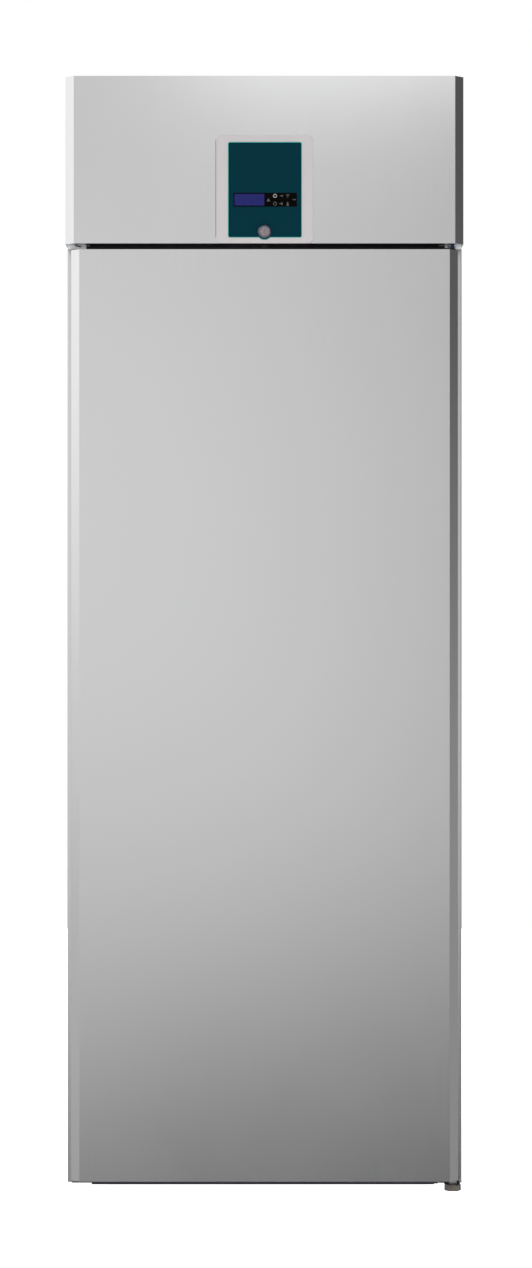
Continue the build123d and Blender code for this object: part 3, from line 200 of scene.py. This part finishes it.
def screen_material():
    """Liquid crystal screen, blank under a blue back light: even violet blue with a fine cell grid."""
    material = bpy.data.materials.new("liquid_crystal_screen_blue")
    material.use_nodes = True
    tree = material.node_tree
    shader = tree.nodes["Principled BSDF"]
    place = add_node(tree, "TexCoord")
    grid = add_node(tree, "TexBrick", {"offset": 0.0}, {
        "Vector": add_node(tree, "Mapping", inputs={
            "Vector": place.outputs["Object"], "Rotation": (math.radians(90), 0, 0),
            "Scale": (CELLS_PER_METRE, CELLS_PER_METRE, CELLS_PER_METRE),
        }).outputs[0],
        "Color1": linear("#1E2054"), "Color2": linear("#202258"), "Mortar": linear("#1A1C49"),
        "Scale": 1.0, "Mortar Size": 0.04, "Brick Width": 0.9, "Row Height": 0.9,
    })
    cloud = object_pattern(tree, (22.0, 22.0, 14.0))
    colour = mixed(tree, ranged(tree, cloud, 0.0, 0.5), grid.outputs[0], linear("#242660"))
    tree.links.new(colour, shader.inputs["Base Color"])
    tree.links.new(colour, shader.inputs["Emission Color"])
    tree.links.new(ranged(tree, cloud, 0.22, 0.28), shader.inputs["Roughness"])
    shader.inputs["Emission Strength"].default_value = 0.4
    shader.inputs["IOR"].default_value = 1.5
    shader.inputs["Specular IOR Level"].default_value = 0.04
    return material


def board_material():
    """Glass epoxy circuit board, solder resist green: shiny, with copper tracks showing through."""
    material = bpy.data.materials.new("glass_epoxy_board_green")
    material.use_nodes = True
    tree = material.node_tree
    shader = tree.nodes["Principled BSDF"]
    place = add_node(tree, "TexCoord")
    tracks = add_node(tree, "TexBrick", {"offset": 0.37, "squash": 0.6}, {
        "Vector": add_node(tree, "Mapping", inputs={
            "Vector": place.outputs["Object"], "Rotation": (math.radians(90), 0, 0),
            "Scale": (TRACKS_PER_METRE, TRACKS_PER_METRE, TRACKS_PER_METRE),
        }).outputs[0],
        "Color1": linear("#0D4A2A"), "Color2": linear("#0F5631"), "Mortar": linear("#3F7A3C"),
        "Scale": 1.0, "Mortar Size": 0.06, "Brick Width": 1.9, "Row Height": 0.8,
    })
    tree.links.new(tracks.outputs[0], shader.inputs["Base Color"])
    tree.links.new(ranged(tree, object_pattern(tree, (7.0, 7.0, 7.0)), 0.25, 0.4), shader.inputs["Roughness"])
    shader.inputs["IOR"].default_value = 1.55
    return material


FINISHES["blue_screen"] = screen_material()
FINISHES["circuit_board"] = board_material()

# Ink of the border and of the signs, printed under the film: even and matt.
INK_LOOK = {"gloss": (0.42, 0.5), "grain": (1.2, 1.2, 1.2), "relief": 0.002, "IOR": 1.5}
BORDER_INK = make_finish("screen_ink_light_teal", "#2FA79B", "#3DB8AB", **INK_LOOK)
SIGN_INK = make_finish("screen_ink_dim_grey", "#434648", "#4E5153", **INK_LOOK)
RING_INK = make_finish("screen_ink_pale_grey", "#9A9B98", "#A6A7A4", **INK_LOOK)

# Four pieces whose own finish differs a little from that of the others of their material; the plates' and the
# pin's are painted lighter, as painted light
OWN_FINISHES = {
    # Smoked chrome of the lock's rim: darker and bluer than its plug.
    "lock_housing": make_finish("zinc_casting_smoked_chrome", "#5E5D68", "#737280", (0.2, 0.3),
                                (3.0, 3.0, 3.0), 0.004, 1.0),
    # Zinc flake coating of the plates: dry and even, and painted paler than plain zinc as painted light, so
    # that the plates and their lips look lit in the shaded slit over the door.
    "upper_hinge_plates": make_finish("steel_zinc_flake_painted_light", "#DBDDDF", "#E5E7E9", (0.34, 0.42),
                                      (2.0, 2.0, 2.0), 0.003, 0.45, cloud=14.0),
    # Zinc plate with a dull grey passivation.
    "lower_hinge_plate": make_finish("steel_zinc_plated_dull", "#96989A", "#A8AAAC", (0.36, 0.46),
                                     (2.2, 2.2, 2.2), 0.006, 0.8, cloud=12.0),
    # Ground steel pin, painted near white and barely metallic: painted light, so that it looks lit deep in
    # the shaded slit over the door.
    "hinge_pins": make_finish("steel_pin_ground_painted_light", "#F0F1F2", "#FAFAFB", (0.3, 0.38),
                              (4.0, 4.0, 0.8), 0.002, 0.2),
}

for part in frame["record"]["subparts"]:
    mesh_object = NODES[part["node"]]
    mesh_object.data.materials.clear()
    mesh_object.data.materials.append(OWN_FINISHES.get(part["node"], FINISHES[part["material_slot"]]))


# Studio: camera, floor, surroundings and lights
FLOOR_RADIUS = 5.0
FLOOR_SIDES = 96
SURROUND_STRENGTH = 2.0
WHITE = 1.0

door_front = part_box("door_outer_skin")[0].y
camera_data = bpy.data.cameras.new("camera")
camera = bpy.data.objects.new("camera", camera_data)
bpy.context.collection.objects.link(camera)
camera.location = (CAMERA_SIDE, door_front - CAMERA_DISTANCE, CAMERA_HEIGHT)
camera.rotation_euler = (math.radians(90), 0, 0)
camera_data.sensor_width = SENSOR
camera_data.lens = SENSOR * CAMERA_DISTANCE / (IMAGE_HEIGHT * PIXEL)
bpy.context.scene.camera = camera

floor_mesh = bmesh.new()
bmesh.ops.create_circle(floor_mesh, cap_ends=True, segments=FLOOR_SIDES, radius=FLOOR_RADIUS)
floor_data = bpy.data.meshes.new("studio_floor")
floor_mesh.to_mesh(floor_data)
floor_mesh.free()
floor = bpy.data.objects.new("studio_floor", floor_data)
bpy.context.collection.objects.link(floor)
floor.visible_glossy = False
# Acrylic table top, opal and lit from below: white, with only faint shadows.
floor_data.materials.append(
    make_finish("floor_opal_acrylic", "#F4F4F4", "#FAFAFA", (0.8, 0.9), (300.0, 300.0, 300.0),
                Emission_Color=(1.0, 1.0, 1.0, 1.0), Emission_Strength=1.0))

scene = bpy.context.scene
scene.view_settings.view_transform = "Standard"
scene.view_settings.look = "None"
scene.world = bpy.data.worlds.new("studio")
scene.world.use_nodes = True
sky = scene.world.node_tree
surround = sky.nodes["Background"]
heading = add_node(sky, "SeparateXYZ", inputs={0: add_node(sky, "TexCoord").outputs["Generated"]})


def height_ramp(stops):
    """Grey that changes with the height of the view over the horizon, from pairs of sine and brightness."""
    low, high = stops[0][0], stops[-1][0]
    ramp = add_node(sky, "ValToRGB", inputs={
        0: add_node(sky, "MapRange", inputs={0: heading.outputs[2], 1: low, 2: high}).outputs[0]})
    ramp.color_ramp.interpolation = "LINEAR"
    points = ramp.color_ramp.elements
    while len(points) < len(stops):
        points.new(0.5)
    for point, (sine, grey) in zip(points, stops):
        shade = grey / SURROUND_STRENGTH
        point.position = (sine - low) / (high - low)
        point.color = (shade, shade, shade, 1.0)
    return ramp.outputs[0]


# Brightness of the surroundings from straight down (sine -1) to straight up (sine 1). The door mirrors the
# front ones: the bright band just under the horizon and the dark one below it give it its dark foot.
FRONT_STOPS = [
    (-1.0, 0.62), (-0.55, 0.50), (-0.36, 0.34), (-0.27, 0.16), (-0.22, 0.0), (-0.12, 0.0), (-0.108, 0.80),
    (-0.096, 1.75), (-0.05, 1.75), (-0.02, 1.42), (0.02, 1.24), (0.07, 1.38), (0.11, 1.24), (0.13, 1.05),
    (0.3, 0.70), (0.6, 0.81), (1.0, 1.0),
]
NEAR_LEFT_STOPS = [
    (-1.0, 0.62), (-0.55, 0.50), (-0.36, 0.36), (-0.27, 0.20), (-0.21, 0.0), (-0.162, 0.0), (-0.145, 0.40),
    (-0.125, 1.38), (-0.102, 1.28), (-0.07, 0.88), (-0.04, 1.06), (0.0, 1.28), (0.08, 1.22), (0.13, 1.05),
    (0.3, 0.70), (0.6, 0.81), (1.0, 1.0),
]
BESIDE_STOPS = [
    (-1.0, 0.6), (-0.55, 0.48), (-0.36, 0.36), (-0.27, 0.18), (-0.21, 0.0), (-0.12, 0.0), (-0.08, 0.17),
    (0.0, 0.30), (0.15, 0.27), (0.3, 0.36), (0.6, 0.7), (1.0, 1.0),
]
FAR_STOPS = [
    (-1.0, 0.6), (-0.5, 0.5), (-0.2, 0.42), (0.0, 0.42), (0.15, 0.35), (0.3, 0.38), (0.7, 0.7), (1.0, 1.0),
]
RIGHT_STOPS = [
    (-1.0, 0.6), (-0.5, 0.42), (-0.2, 0.42), (-0.05, 0.47), (0.05, 0.22), (0.1, 0.10), (0.3, 0.13),
    (0.7, 0.7), (1.0, 1.0),
]
LEFT_STOPS = [
    (-1.0, 0.6), (-0.5, 0.5), (-0.2, 0.45), (-0.1, 0.70), (0.0, 1.10), (0.08, 1.55), (0.3, 1.45), (1.0, 1.0),
]
BEHIND_STOPS = [(-1.0, 0.6), (-0.4, 0.46), (-0.1, 0.55), (0.1, 0.7), (0.5, 0.95), (1.0, 1.0)]

# Each part of the surroundings: the axis of the heading, where it starts and is reached, and its ramp
ACROSS, INWARDS = 0, 1
SURROUNDINGS = (
    (ACROSS, -0.01, -0.06, NEAR_LEFT_STOPS),
    (ACROSS, -0.02, 0.2, BESIDE_STOPS),
    (ACROSS, 0.24, 0.40, FAR_STOPS),
    (ACROSS, 0.45, 0.8, RIGHT_STOPS),
    (ACROSS, -0.15, -0.75, LEFT_STOPS),
    (INWARDS, 0.3, 0.65, BEHIND_STOPS),
)
around = height_ramp(FRONT_STOPS)
for axis, start, end, stops in SURROUNDINGS:
    reached = add_node(sky, "MapRange", inputs={0: heading.outputs[axis], 1: start, 2: end}).outputs[0]
    around = mixed(sky, reached, around, height_ramp(stops))

# The camera itself sees plain white
seen = add_node(sky, "LightPath").outputs["Is Camera Ray"]
backdrop = WHITE / SURROUND_STRENGTH
sky.links.new(mixed(sky, seen, around, (backdrop, backdrop, backdrop, 1.0)), surround.inputs["Color"])
surround.inputs["Strength"].default_value = SURROUND_STRENGTH


def soft_light(name, place, aim, size, power):
    """A rectangular soft box at a place, turned to a point; metres and watts."""
    data = bpy.data.lights.new(name, "AREA")
    data.shape = "RECTANGLE"
    data.size, data.size_y = size
    data.energy = power
    light = bpy.data.objects.new(name, data)
    bpy.context.collection.objects.link(light)
    light.location = place
    light.rotation_euler = (Vector(aim) - Vector(place)).to_track_quat("-Z", "Y").to_euler()


soft_light("box_over_header", place=(0.28, -3.0, 2.85), aim=(0.1, -0.4, 2.0), size=(1.0, 0.6), power=2.2)
soft_light("box_over_back", place=(0.5, 2.6, 3.6), aim=(0.0, 0.2, 1.4), size=(2.4, 1.6), power=14)


# Small pieces that the solids leave to the picture
def finish_piece(mesh, name, material, body):
    """Makes an object of a bmesh, gives it its finish and lets it ride on its body."""
    bmesh.ops.recalc_face_normals(mesh, faces=mesh.faces[:])
    data = bpy.data.meshes.new(name)
    for face in mesh.faces:
        face.smooth = False
    mesh.to_mesh(data)
    mesh.free()
    data.materials.append(material)
    piece = bpy.data.objects.new(name, data)
    bpy.context.collection.objects.link(piece)
    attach(piece, body)


INK_HEIGHT = 0.06 * MM
BORDER_MARGIN = 0.2 * MM
BORDER_LINE = 1.1 * MM
# In metres: points nearer than this are one, and a face further back than this isn't the front
SAME_PLACE = 1e-6
BEHIND_FACE = 1e-5


def raise_ink(mesh):
    """Thickens a flat printed shape by the height of its ink, towards the user."""
    made = bmesh.ops.extrude_face_region(mesh, geom=mesh.faces[:])
    moved = [item for item in made["geom"] if isinstance(item, bmesh.types.BMVert)]
    bmesh.ops.translate(mesh, verts=moved, vec=(0, -INK_HEIGHT, 0))


def fascia_border():
    """The light line printed round the edge of the fascia."""
    mesh = bmesh.new()
    mesh.from_mesh(NODES["control_fascia"].data)
    bmesh.ops.remove_doubles(mesh, verts=mesh.verts[:], dist=SAME_PLACE)
    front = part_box("control_fascia")[0].y
    behind = [face for face in mesh.faces if face.calc_center_median().y > front + BEHIND_FACE]
    bmesh.ops.delete(mesh, geom=behind, context="FACES")
    corner = min(mesh.verts, key=lambda vert: vert.co.x)
    outline, reached = {corner}, [corner]
    while reached:
        vert = reached.pop()
        for edge in vert.link_edges:
            other = edge.other_vert(vert)
            if edge.is_boundary and other not in outline:
                outline.add(other)
                reached.append(other)
    rim = [edge for edge in mesh.edges if edge.is_boundary and edge.verts[0] in outline]
    bmesh.ops.delete(mesh, geom=mesh.faces[:], context="FACES_ONLY")
    bmesh.ops.delete(mesh, geom=[edge for edge in mesh.edges if edge not in rim], context="EDGES")
    bmesh.ops.contextual_create(mesh, geom=mesh.edges[:])
    for width in (BORDER_MARGIN, BORDER_LINE):
        ring = bmesh.ops.inset_region(
            mesh, faces=mesh.faces[:], thickness=width, use_boundary=True, use_even_offset=True)["faces"]
        if width == BORDER_MARGIN:
            bmesh.ops.delete(mesh, geom=ring, context="FACES")
    bmesh.ops.delete(mesh, geom=[face for face in mesh.faces if face not in ring], context="FACES")
    raise_ink(mesh)
    finish_piece(mesh, "fascia_border", BORDER_INK, "header")


fascia_border()


DISC_SIDES = 32
TRIANGLE_SIDES = 3


def sign_part(mesh, kind, across, up, size, turn=0.0):
    """Adds a bar (width, height), disc or triangle (radius) or ring (radius, line) to a sign, in mm."""
    place = Matrix.Translation((across * MM, 0, up * MM)) @ Matrix.Rotation(math.radians(turn), 4, "Y")
    place = place @ Matrix.Rotation(math.radians(90), 4, "X")
    if kind == "bar":
        place = place @ Matrix.Diagonal((size[0] * MM, size[1] * MM, 1, 1))
        bmesh.ops.create_grid(mesh, x_segments=1, y_segments=1, size=0.5, matrix=place)
        return
    corners = TRIANGLE_SIDES if kind == "triangle" else DISC_SIDES
    made = bmesh.ops.create_circle(mesh, cap_ends=True, segments=corners, radius=size[0] * MM, matrix=place)
    if kind == "ring":
        face = made["verts"][0].link_faces[0]
        bmesh.ops.inset_region(mesh, faces=[face], thickness=size[1] * MM, use_boundary=True)
        bmesh.ops.delete(mesh, geom=[face], context="FACES")


def sign(name, on, ink, body, parts, at=None):
    """A printed sign on the front of a key or of the lens, its parts given from its middle."""
    low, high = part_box(on)
    middle = at or ((low.x + high.x) / 2, (low.z + high.z) / 2)
    mesh = bmesh.new()
    for kind, across, up, size, *turn in parts:
        sign_part(mesh, kind, across, up, size, *turn)
    bmesh.ops.translate(mesh, verts=mesh.verts[:], vec=(middle[0], low.y, middle[1]))
    raise_ink(mesh)
    finish_piece(mesh, name, ink, body)


# The picture's column through the middle of the cabinet, its row along the top, and the cabinet's height
MIDDLE_COLUMN = 264.5
TOP_ROW = 75.8
CABINET_HEIGHT = 2.1


def pixel_place(column, row):
    """Where a pixel of the full picture lies on the front of the header, across and up."""
    return ((column - MIDDLE_COLUMN) * PIXEL, CABINET_HEIGHT - (row - TOP_ROW) * PIXEL)


# Each sign: its name, the node that it is on, its ink, its body, and its parts from the sign's middle: kind,
# across and up, size, and turn where it has one
SIGNS = (
    ("power_sign", "power_key", RING_INK, "power_key", [("ring", 0, 0, (3.7, 1.4))]),
    ("light_sign", "light_key", SIGN_INK, "light_key",
     [("bar", -1.2, 0, (3.6, 1.5)), ("disc", 2.2, 0, (1.5,))]),
    ("menu_sign", "menu_key", SIGN_INK, "menu_key",
     [("bar", 0, 2.2, (6.0, 1.1)), ("bar", 0, 0, (4.2, 1.1)), ("bar", 0, -2.2, (2.4, 1.1))]),
    ("down_sign", "down_key", SIGN_INK, "down_key",
     [("ring", 0, 0, (3.6, 1.0)), ("bar", 0.4, 0.8, (0.9, 2.2))]),
    ("up_sign", "up_key", SIGN_INK, "up_key",
     [("triangle", 0.6, 0, (3.4,), -90), ("bar", -2.6, 0, (1.6, 2.2))]),
    ("defrost_sign", "defrost_key", SIGN_INK, "defrost_key",
     [("disc", 0, -1.2, (2.1,)), ("triangle", 0, 1.4, (2.4,), 0), ("bar", 0, -3.8, (4.4, 0.9))]),
)
for entry in SIGNS:
    sign(*entry)

# The two lamps behind the lens are at these pixels of the picture
ALARM_PIXEL = (268.4, 200.5)
RUNNING_PIXEL = (293.9, 199.8)
sign("alarm_sign", "display_window", SIGN_INK, "header", [("triangle", 0, 0, (4.0,))],
     pixel_place(*ALARM_PIXEL))
sign("running_sign", "display_window", SIGN_INK, "header",
     [("bar", -0.8, 0, (3.4, 1.2)), ("disc", 2.0, 0, (1.3,))], pixel_place(*RUNNING_PIXEL))


EDGE_STEPS = 3


def box_piece(name, x, y, z, edge, material, body, slot):
    """A small block between limits along X, Y and Z in mm, its edges rounded by a radius in mm."""
    mesh = bmesh.new()
    size = [(high - low) * MM for low, high in (x, y, z)]
    middle = [(high + low) / 2 * MM for low, high in (x, y, z)]
    place = Matrix.Translation(middle) @ Matrix.Diagonal((*size, 1))
    bmesh.ops.create_cube(mesh, size=1, matrix=place)
    bmesh.ops.bevel(mesh, geom=mesh.edges[:], offset=edge * MM, segments=EDGE_STEPS, profile=0.5,
                    affect="EDGES", material=-1)
    finish_piece(mesh, name, material, body)


def shifted(limits, start):
    """Two limits in mm, counted from a place in mm."""
    return (start + limits[0], start + limits[1])


# Nylon riser cam of the hinge: very dark blue, moulded, with a dull shine.
CAM_NYLON = make_finish("nylon_moulded_dark_blue", "#12386B", "#1A457E", (0.42, 0.55),
                        (1.4, 1.4, 1.4), 0.01, cloud=12.0, IOR=1.53)
# Vulcanised fibre washer: brick red and matt.
FIBRE = make_finish("vulcanised_fibre_red", "#3A1519", "#481C20", (0.6, 0.75),
                    (0.8, 0.8, 0.8), 0.01, cloud=8.0, IOR=1.5)

# Where the hinge, its plates and the door are, in mm
plate_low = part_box("upper_hinge_plates")[0]
plate_bottom = plate_low.z / MM
lip_back = plate_low.y / MM
pin_low, pin_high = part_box("hinge_pins")
hinge_x = (pin_low.x + pin_high.x) / 2 / MM
hinge_y = (pin_low.y + pin_high.y) / 2 / MM
door_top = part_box("door_outer_skin")[1].z / MM

# The plates' finish, painted lighter as painted light
PLATE_PAINTED_LIGHT_FINISH = OWN_FINISHES["upper_hinge_plates"]
RUBBER = FINISHES["black_rubber"]
PVC = FINISHES["black_pvc"]
NYLON = FINISHES["fan_plastic"]

# The cam lies beside the pin, from over the washer up to the plate
CAM_SIDE = (8.4, 14.2)
CAM_DEPTH = (-7, 6)
CAM_OVER_DOOR = 4.3
# The plates' lips hang a little over the door's top edge
LIP_THICKNESS = 2.0
LIP_OVER_DOOR = 2.4
LIP_INTO_PLATE = 1.0
LIP_RISE = (door_top + LIP_OVER_DOOR, plate_bottom + LIP_INTO_PLATE)
LIP_DEPTH = (lip_back, lip_back + LIP_THICKNESS)
# Black rubber strips on the lower plate's front edge, beside the foot's neck: painted shadow of the dark gap
# under the door
PLATE_SHADOW_DEPTH = (-417.3, -415.5)
PLATE_SHADOW_RISE = (15.6, 19.5)
# The door's bottom lip is lower up to this place, where it comes near the foot
BOTTOM_LIP_DEPTH = (-433.8, -429.0)
BOTTOM_LIP_TOP = 21.05
BOTTOM_LIP_STEP = 324.0

# Each trim: its name, its limits along X, Y and Z, the radius of its edges, its finish, body and slot
TRIMS = (
    ("hinge_cam", shifted(CAM_SIDE, hinge_x), shifted(CAM_DEPTH, hinge_y),
     (door_top + CAM_OVER_DOOR, plate_bottom), 0.6, CAM_NYLON, "cabinet", "black_pvc"),
    # Turned down edges of the two plates, seen in the slit over the door, in the plates' finish that is
    # painted lighter as painted light
    ("left_plate_lip", (-371.6, -336.0), LIP_DEPTH, LIP_RISE, 0.4, PLATE_PAINTED_LIGHT_FINISH, "cabinet", "zinc_steel"),
    ("right_plate_lip", (359.8, 371.6), LIP_DEPTH, LIP_RISE, 0.4, PLATE_PAINTED_LIGHT_FINISH, "cabinet", "zinc_steel"),
    # Rubber stop of the header, under the lock
    ("header_stop", (-6.6, 6.6), (-413.0, -405.0), shifted((2.6, 11.0), door_top), 0.8, NYLON,
     "header", "black_rubber"),
    # Dark rubber block behind the foot's neck: painted shade of the foot's top in the shadow under the door;
    # and black strips on both sides of it: painted shadow of the gap under the door
    ("foot_neck_painted_shade", (340.5, 370.5), (-389.0, -381.0), (8.5, 15.5), 0.6, RUBBER, "cabinet", "black_rubber"),
    ("plate_edge_shadow_strip", (328.0, 348.0), PLATE_SHADOW_DEPTH, PLATE_SHADOW_RISE, 0.4, RUBBER,
     "cabinet", "black_rubber"),
    ("plate_edge_shadow_end", (362.5, 367.5), PLATE_SHADOW_DEPTH, PLATE_SHADOW_RISE, 0.4, RUBBER,
     "cabinet", "black_rubber"),
    # Dark lip of the door's bottom cap, just under the skin, and the sweep's nose, cut back round the foot
    ("door_bottom_lip", (-362.4, BOTTOM_LIP_STEP), BOTTOM_LIP_DEPTH, (18.7, BOTTOM_LIP_TOP), 0.3, PVC,
     "door", "black_pvc"),
    ("door_lip_end", (BOTTOM_LIP_STEP, 345.0), BOTTOM_LIP_DEPTH, (19.9, BOTTOM_LIP_TOP), 0.3, PVC,
     "door", "black_pvc"),
    ("sweep_nose", (316.0, 326.5), (-433.6, -431.7), (17.2, 20.0), 0.3, RUBBER, "door", "black_rubber"),
    # Dark rubber strip past the left edge of the control surround: painted shadow, where the surround shades
    # the header beside it
    ("bezel_edge_painted_shadow", (-91.9, -90.9), (-436.1, -435.4), (1797.0, 1980.0), 0.2, RUBBER,
     "header", "black_rubber"),
)
for trim in TRIMS:
    box_piece(*trim)

WASHER_RADIUS = 17.0
WASHER_BORE = 5.2
WASHER_THICKNESS = 3.9
WASHER_SIDES = 64


def hinge_washer():
    """The fibre washer that lies round the pin on top of the door."""
    mesh = bmesh.new()
    place = Matrix.Translation((hinge_x * MM, hinge_y * MM, door_top * MM))
    made = bmesh.ops.create_circle(
        mesh, cap_ends=True, segments=WASHER_SIDES, radius=WASHER_RADIUS * MM, matrix=place)
    face = made["verts"][0].link_faces[0]
    width = (WASHER_RADIUS - WASHER_BORE) * MM
    bmesh.ops.inset_region(mesh, faces=[face], thickness=width, use_boundary=True)
    bmesh.ops.delete(mesh, geom=[face], context="FACES")
    raised = bmesh.ops.extrude_face_region(mesh, geom=mesh.faces[:])
    moved = [item for item in raised["geom"] if isinstance(item, bmesh.types.BMVert)]
    bmesh.ops.translate(mesh, verts=moved, vec=(0, 0, WASHER_THICKNESS * MM))
    finish_piece(mesh, "hinge_washer", FIBRE, "door")


hinge_washer()

# Middle of the dark block across and up, its size along X, Y and Z, and its edges, in mm; it is set askew
MARK_ACROSS = -351.7
MARK_UP = 1782.4
MARK_SIZE = (12, 1.6, 2.6)
MARK_BEFORE_LIP = 0.2
MARK_TURN = 15
MARK_EDGE = 0.5


def add_spare_plate_dark_mark():
    """A dark block, set askew, in the edge of the spare hinge plate."""
    mesh = bmesh.new()
    place = Matrix.Translation((MARK_ACROSS * MM, (lip_back - MARK_BEFORE_LIP) * MM, MARK_UP * MM))
    place = place @ Matrix.Rotation(math.radians(MARK_TURN), 4, "Y")
    place = place @ Matrix.Diagonal((*(length * MM for length in MARK_SIZE), 1))
    bmesh.ops.create_cube(mesh, size=1, matrix=place)
    bmesh.ops.bevel(mesh, geom=mesh.edges[:], offset=MARK_EDGE * MM, segments=2, profile=0.5,
                    affect="EDGES", material=-1)
    finish_piece(mesh, "spare_plate_dark_mark", PVC, "cabinet")


add_spare_plate_dark_mark()

# Parts of a pan head screw, against the width of its head: rise, recess length and width. The crown takes
# part of the rise, and the depth and height of the recess are in mm.
SCREW_SIDES = 24
HEAD_RISE = 0.34
CROWN_PART = 0.6
RECESS_LENGTH = 0.5
RECESS_WIDTH = 0.12
RECESS_DEPTH = 0.1
RECESS_PROUD = 0.02


def screw(name, place, facing, head):
    """A pan head screw with a cross recess, its head standing on a face; place and head size in mm."""
    mesh = bmesh.new()
    turn = Vector((0, 0, 1)).rotation_difference(Vector(facing)).to_matrix().to_4x4()
    high = HEAD_RISE * head
    radius = head / 2 * MM
    place = Matrix.Translation([number * MM for number in place]) @ turn
    bmesh.ops.create_cone(mesh, cap_ends=True, segments=SCREW_SIDES, radius1=radius, radius2=radius,
                          depth=high * MM, matrix=Matrix.Translation((0, 0, high / 2 * MM)))
    crown = [edge for edge in mesh.edges if all(vert.co.z > high / 2 * MM for vert in edge.verts)]
    bmesh.ops.bevel(mesh, geom=crown, offset=CROWN_PART * high * MM, segments=4, profile=0.5,
                    affect="EDGES", material=-1)
    slit = Matrix.Diagonal((RECESS_LENGTH * head * MM, RECESS_WIDTH * head * MM, RECESS_DEPTH * MM, 1))
    for turned in (0, 90):
        recess = Matrix.Translation((0, 0, (high + RECESS_PROUD) * MM))
        recess = recess @ Matrix.Rotation(math.radians(turned), 4, "Z")
        bmesh.ops.create_cube(mesh, size=1, matrix=recess @ slit)
    bmesh.ops.transform(mesh, matrix=place, verts=mesh.verts[:])
    finish_piece(mesh, name, FINISHES["zinc_steel"], "cabinet")


def face_screws(name, across, along, level, facing, head):
    """Screws of the cabinet at every crossing of two rows of places on one face."""
    count = 0
    for first in across:
        for second in along:
            place = (first, second, level) if facing[2] else (first, level, second)
            count += 1
            screw(f"{name}_{count}", place, facing, head)


UPWARDS = (0, 0, 1)
BACKWARDS = (0, 1, 0)

# The hood's cover ends at this place; only its drain spout reaches further
HOOD_RIGHT = 61
HOOD_MARGIN = 16
HOOD_HEAD = 9.0
hood_low, hood_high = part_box("evaporator_hood")
hood_left = hood_low.x / MM
face_screws("hood_screw", (hood_left + HOOD_MARGIN, (hood_left + HOOD_RIGHT) / 2, HOOD_RIGHT - HOOD_MARGIN),
            (hood_low.y / MM + HOOD_MARGIN, hood_high.y / MM - HOOD_MARGIN), hood_high.z / MM,
            UPWARDS, HOOD_HEAD)

PANEL_ACROSS = (-362, -120, 120, 362)
PANEL_ROWS = (1840, 2088)
PANEL_HEAD = 8.5
panel_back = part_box("machine_rear_panel")[1].y / MM
face_screws("panel_screw", PANEL_ACROSS, PANEL_ROWS, panel_back, BACKWARDS, PANEL_HEAD)

BOX_MARGIN = 9
BOX_HEAD = 6.5
box_low, box_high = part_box("control_box")
face_screws("box_screw", (box_low.x / MM + BOX_MARGIN, box_high.x / MM - BOX_MARGIN),
            (box_low.y / MM + BOX_MARGIN, box_high.y / MM - BOX_MARGIN), box_high.z / MM,
            UPWARDS, BOX_HEAD)

# Cover of the compressor's terminals, on the front of its shell
COVER_SIDE = 30
COVER_DEPTH = (-12, 10)
COVER_RISE = (1905, 1958)
COVER_EDGE = 3.0
shell_low, shell_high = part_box("compressor")
shell_x = (shell_low.x + shell_high.x) / 2 / MM
box_piece("terminal_cover", (shell_x - COVER_SIDE, shell_x + COVER_SIDE),
          shifted(COVER_DEPTH, shell_low.y / MM), COVER_RISE, COVER_EDGE, NYLON, "cabinet", "black_paint")
